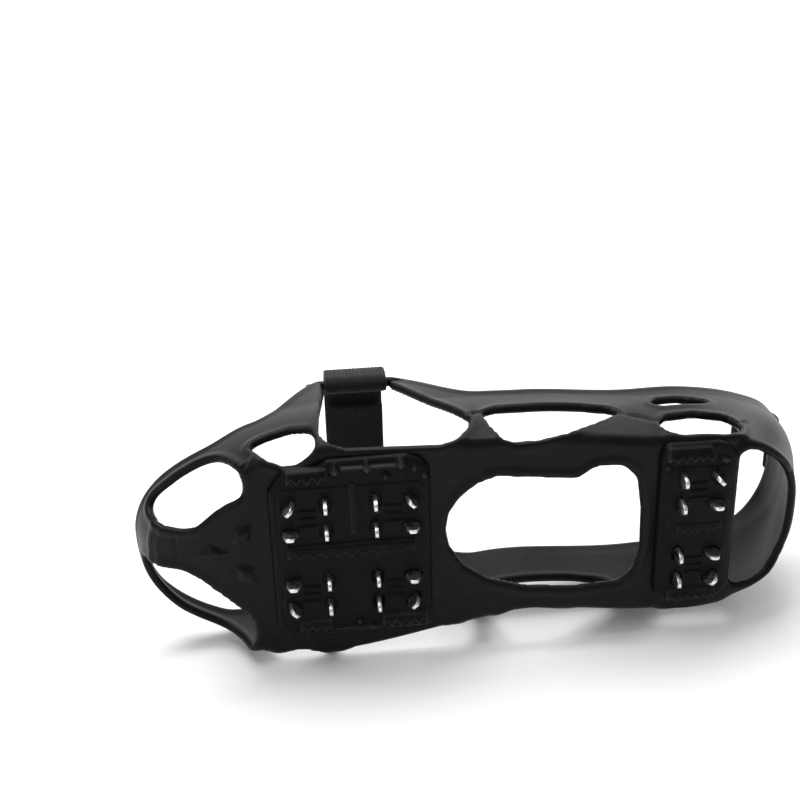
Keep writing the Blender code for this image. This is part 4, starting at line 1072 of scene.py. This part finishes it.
def heel_tab_surface():
    """The pull tab: a tongue along its bulging line, oval in section, with dots on its back."""
    axis_x = HEEL_END + HEEL_LEAN - TAPER * (BACK_RIM - TAPER_START) ** 2 - WALL / 2
    axis_y = BACK_RIM + 2 * GAP + TAB_THICK / 2
    t = np.linspace(-TAB_THICK / 2 / TAB_RISE, 1.0, 94)
    path = np.stack([axis_x + TAB_BULGE * np.sin(1.25 * math.pi * np.clip(t, 0.0, 1.0)),
                     axis_y + TAB_RISE * t], -1)
    normal = path_normals(path)
    u = np.linspace(-1.0, 1.0, 61)
    edge = oval_edge(u, 0.86, 0.14)
    ends = quarter_circle(np.minimum(t - t[0], 1 - t) / 0.046, 0.03)
    width = TAB_WIDTH / 2 * (1.0 - 0.3 * (1 - quarter_circle((1 - t) / 0.28)))
    z = width[:, None] * u[None, :]
    s = (t * TAB_RISE * 1.15)[:, None]
    dots = np.clip(np.cos(2 * math.pi * (z + 1.2 * (np.round(s / 2.1) % 2)) / 2.4), 0, 1)
    dots = dots * np.clip(np.cos(2 * math.pi * s / 2.1), 0, 1) * (np.abs(u) < 0.8)
    dots = dots * ((t > 0.15) & (t < 0.93))[:, None]
    grids = []
    for face, dot_height in ((1.0, 0.45), (-1.0, 0.2)):
        half = TAB_THICK / 2 * edge[None, :] * ends[:, None] + dot_height * dots
        line = path[:, None, :] + face * half[..., None] * normal[:, None, :]
        grids.append(np.concatenate([line, z[..., None]], -1))
    ring = np.concatenate([grids[0], grids[1][:, ::-1][:, 1:-1]], axis=1)
    return ring.reshape(-1, 3), tube_faces(len(t), ring.shape[1])


tab = make_piece("heel_tab_dotted", *heel_tab_surface())
fix_normals(tab)
paint(tab, HARNESS_SKIN)
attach(tab, "heel_tab")
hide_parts("heel_tab")


# ------------------------------------------------------------------ stage, light and camera
def plain(name, color, rough):
    mat, _, _, shader, _ = start_material(name)
    shader.inputs["Base Color"].default_value = (*color, 1.0)
    shader.inputs["Roughness"].default_value = rough
    return mat


def backdrop():
    """A floor that sweeps up behind in a quarter circle."""
    bend = np.linspace(0.0, math.pi / 2, 25)
    sweep = np.stack([2200 + 900 * np.sin(bend), 900 - 900 * np.cos(bend)], -1)
    profile = np.concatenate([[(-3000.0, 0.0)], sweep, [(3100.0, 3200.0)]])
    count = len(profile)
    grid = np.stack([np.broadcast_to([[-4000.0], [4000.0]], (2, count)),
                     np.broadcast_to(profile[:, 0], (2, count)),
                     np.broadcast_to(profile[:, 1], (2, count))], -1)
    data = bpy.data.meshes.new("floor")
    data.from_pydata((grid.reshape(-1, 3) * MM).tolist(), [], grid_triangles(2, count).tolist())
    data.polygons.foreach_set("use_smooth", np.full(len(data.polygons), True))
    floor = add_object("floor", data)
    data.materials.append(plain("floor_paper", (0.93, 0.93, 0.935), 0.8))


def area_light(name, at, target, size, power):
    lamp = bpy.data.lights.new(name, "AREA")
    lamp.shape, lamp.size, lamp.size_y = "RECTANGLE", size[0], size[1]
    lamp.energy = power
    holder = add_object(name, lamp)
    holder.location = at
    holder.rotation_euler = (Vector(target) - Vector(at)).to_track_quat("-Z", "Y").to_euler()


backdrop()
area_light("overhead", (-0.2, 0.3, 1.5), (0.0, 0.0, 0.0), (1.4, 1.0), 25.0)
area_light("backdrop_wash", (0.0, 0.9, 1.9), (0.0, 3.0, 0.9), (3.6, 0.6), 85.0)
area_light("left_front", (-1.3, -0.9, 1.0), (0.0, 0.0, 0.05), (0.9, 0.9), 5.0)
area_light("right_back", (1.1, 0.9, 0.9), (0.05, 0.0, 0.05), (0.7, 0.9), 7.0)

world = bpy.data.worlds.new("studio")
world.use_nodes = True
world.node_tree.nodes["Background"].inputs["Color"].default_value = (1.0, 1.0, 1.0, 1.0)
world.node_tree.nodes["Background"].inputs["Strength"].default_value = 0.37
bpy.context.scene.world = world
bpy.context.scene.view_settings.view_transform = "Standard"

lens = bpy.data.cameras.new("camera")
lens.sensor_width, lens.lens = 36.0, 54.0
lens.clip_start, lens.clip_end = 0.01, 30.0
camera = add_object("camera", lens)
EYE = np.array([-17.7, -492.2, 301.7])
RIGHT = Vector((0.99473, -0.09890, -0.02689))
AHEAD = Vector((0.07890, 0.90638, -0.41503))
up = RIGHT.cross(AHEAD)
camera.matrix_world = Matrix((
    (RIGHT.x, up.x, -AHEAD.x, 0), (RIGHT.y, up.y, -AHEAD.y, 0), (RIGHT.z, up.z, -AHEAD.z, 0),
    (0, 0, 0, 1)))
camera.location = Vector(place(EYE))
bpy.context.scene.camera = camera
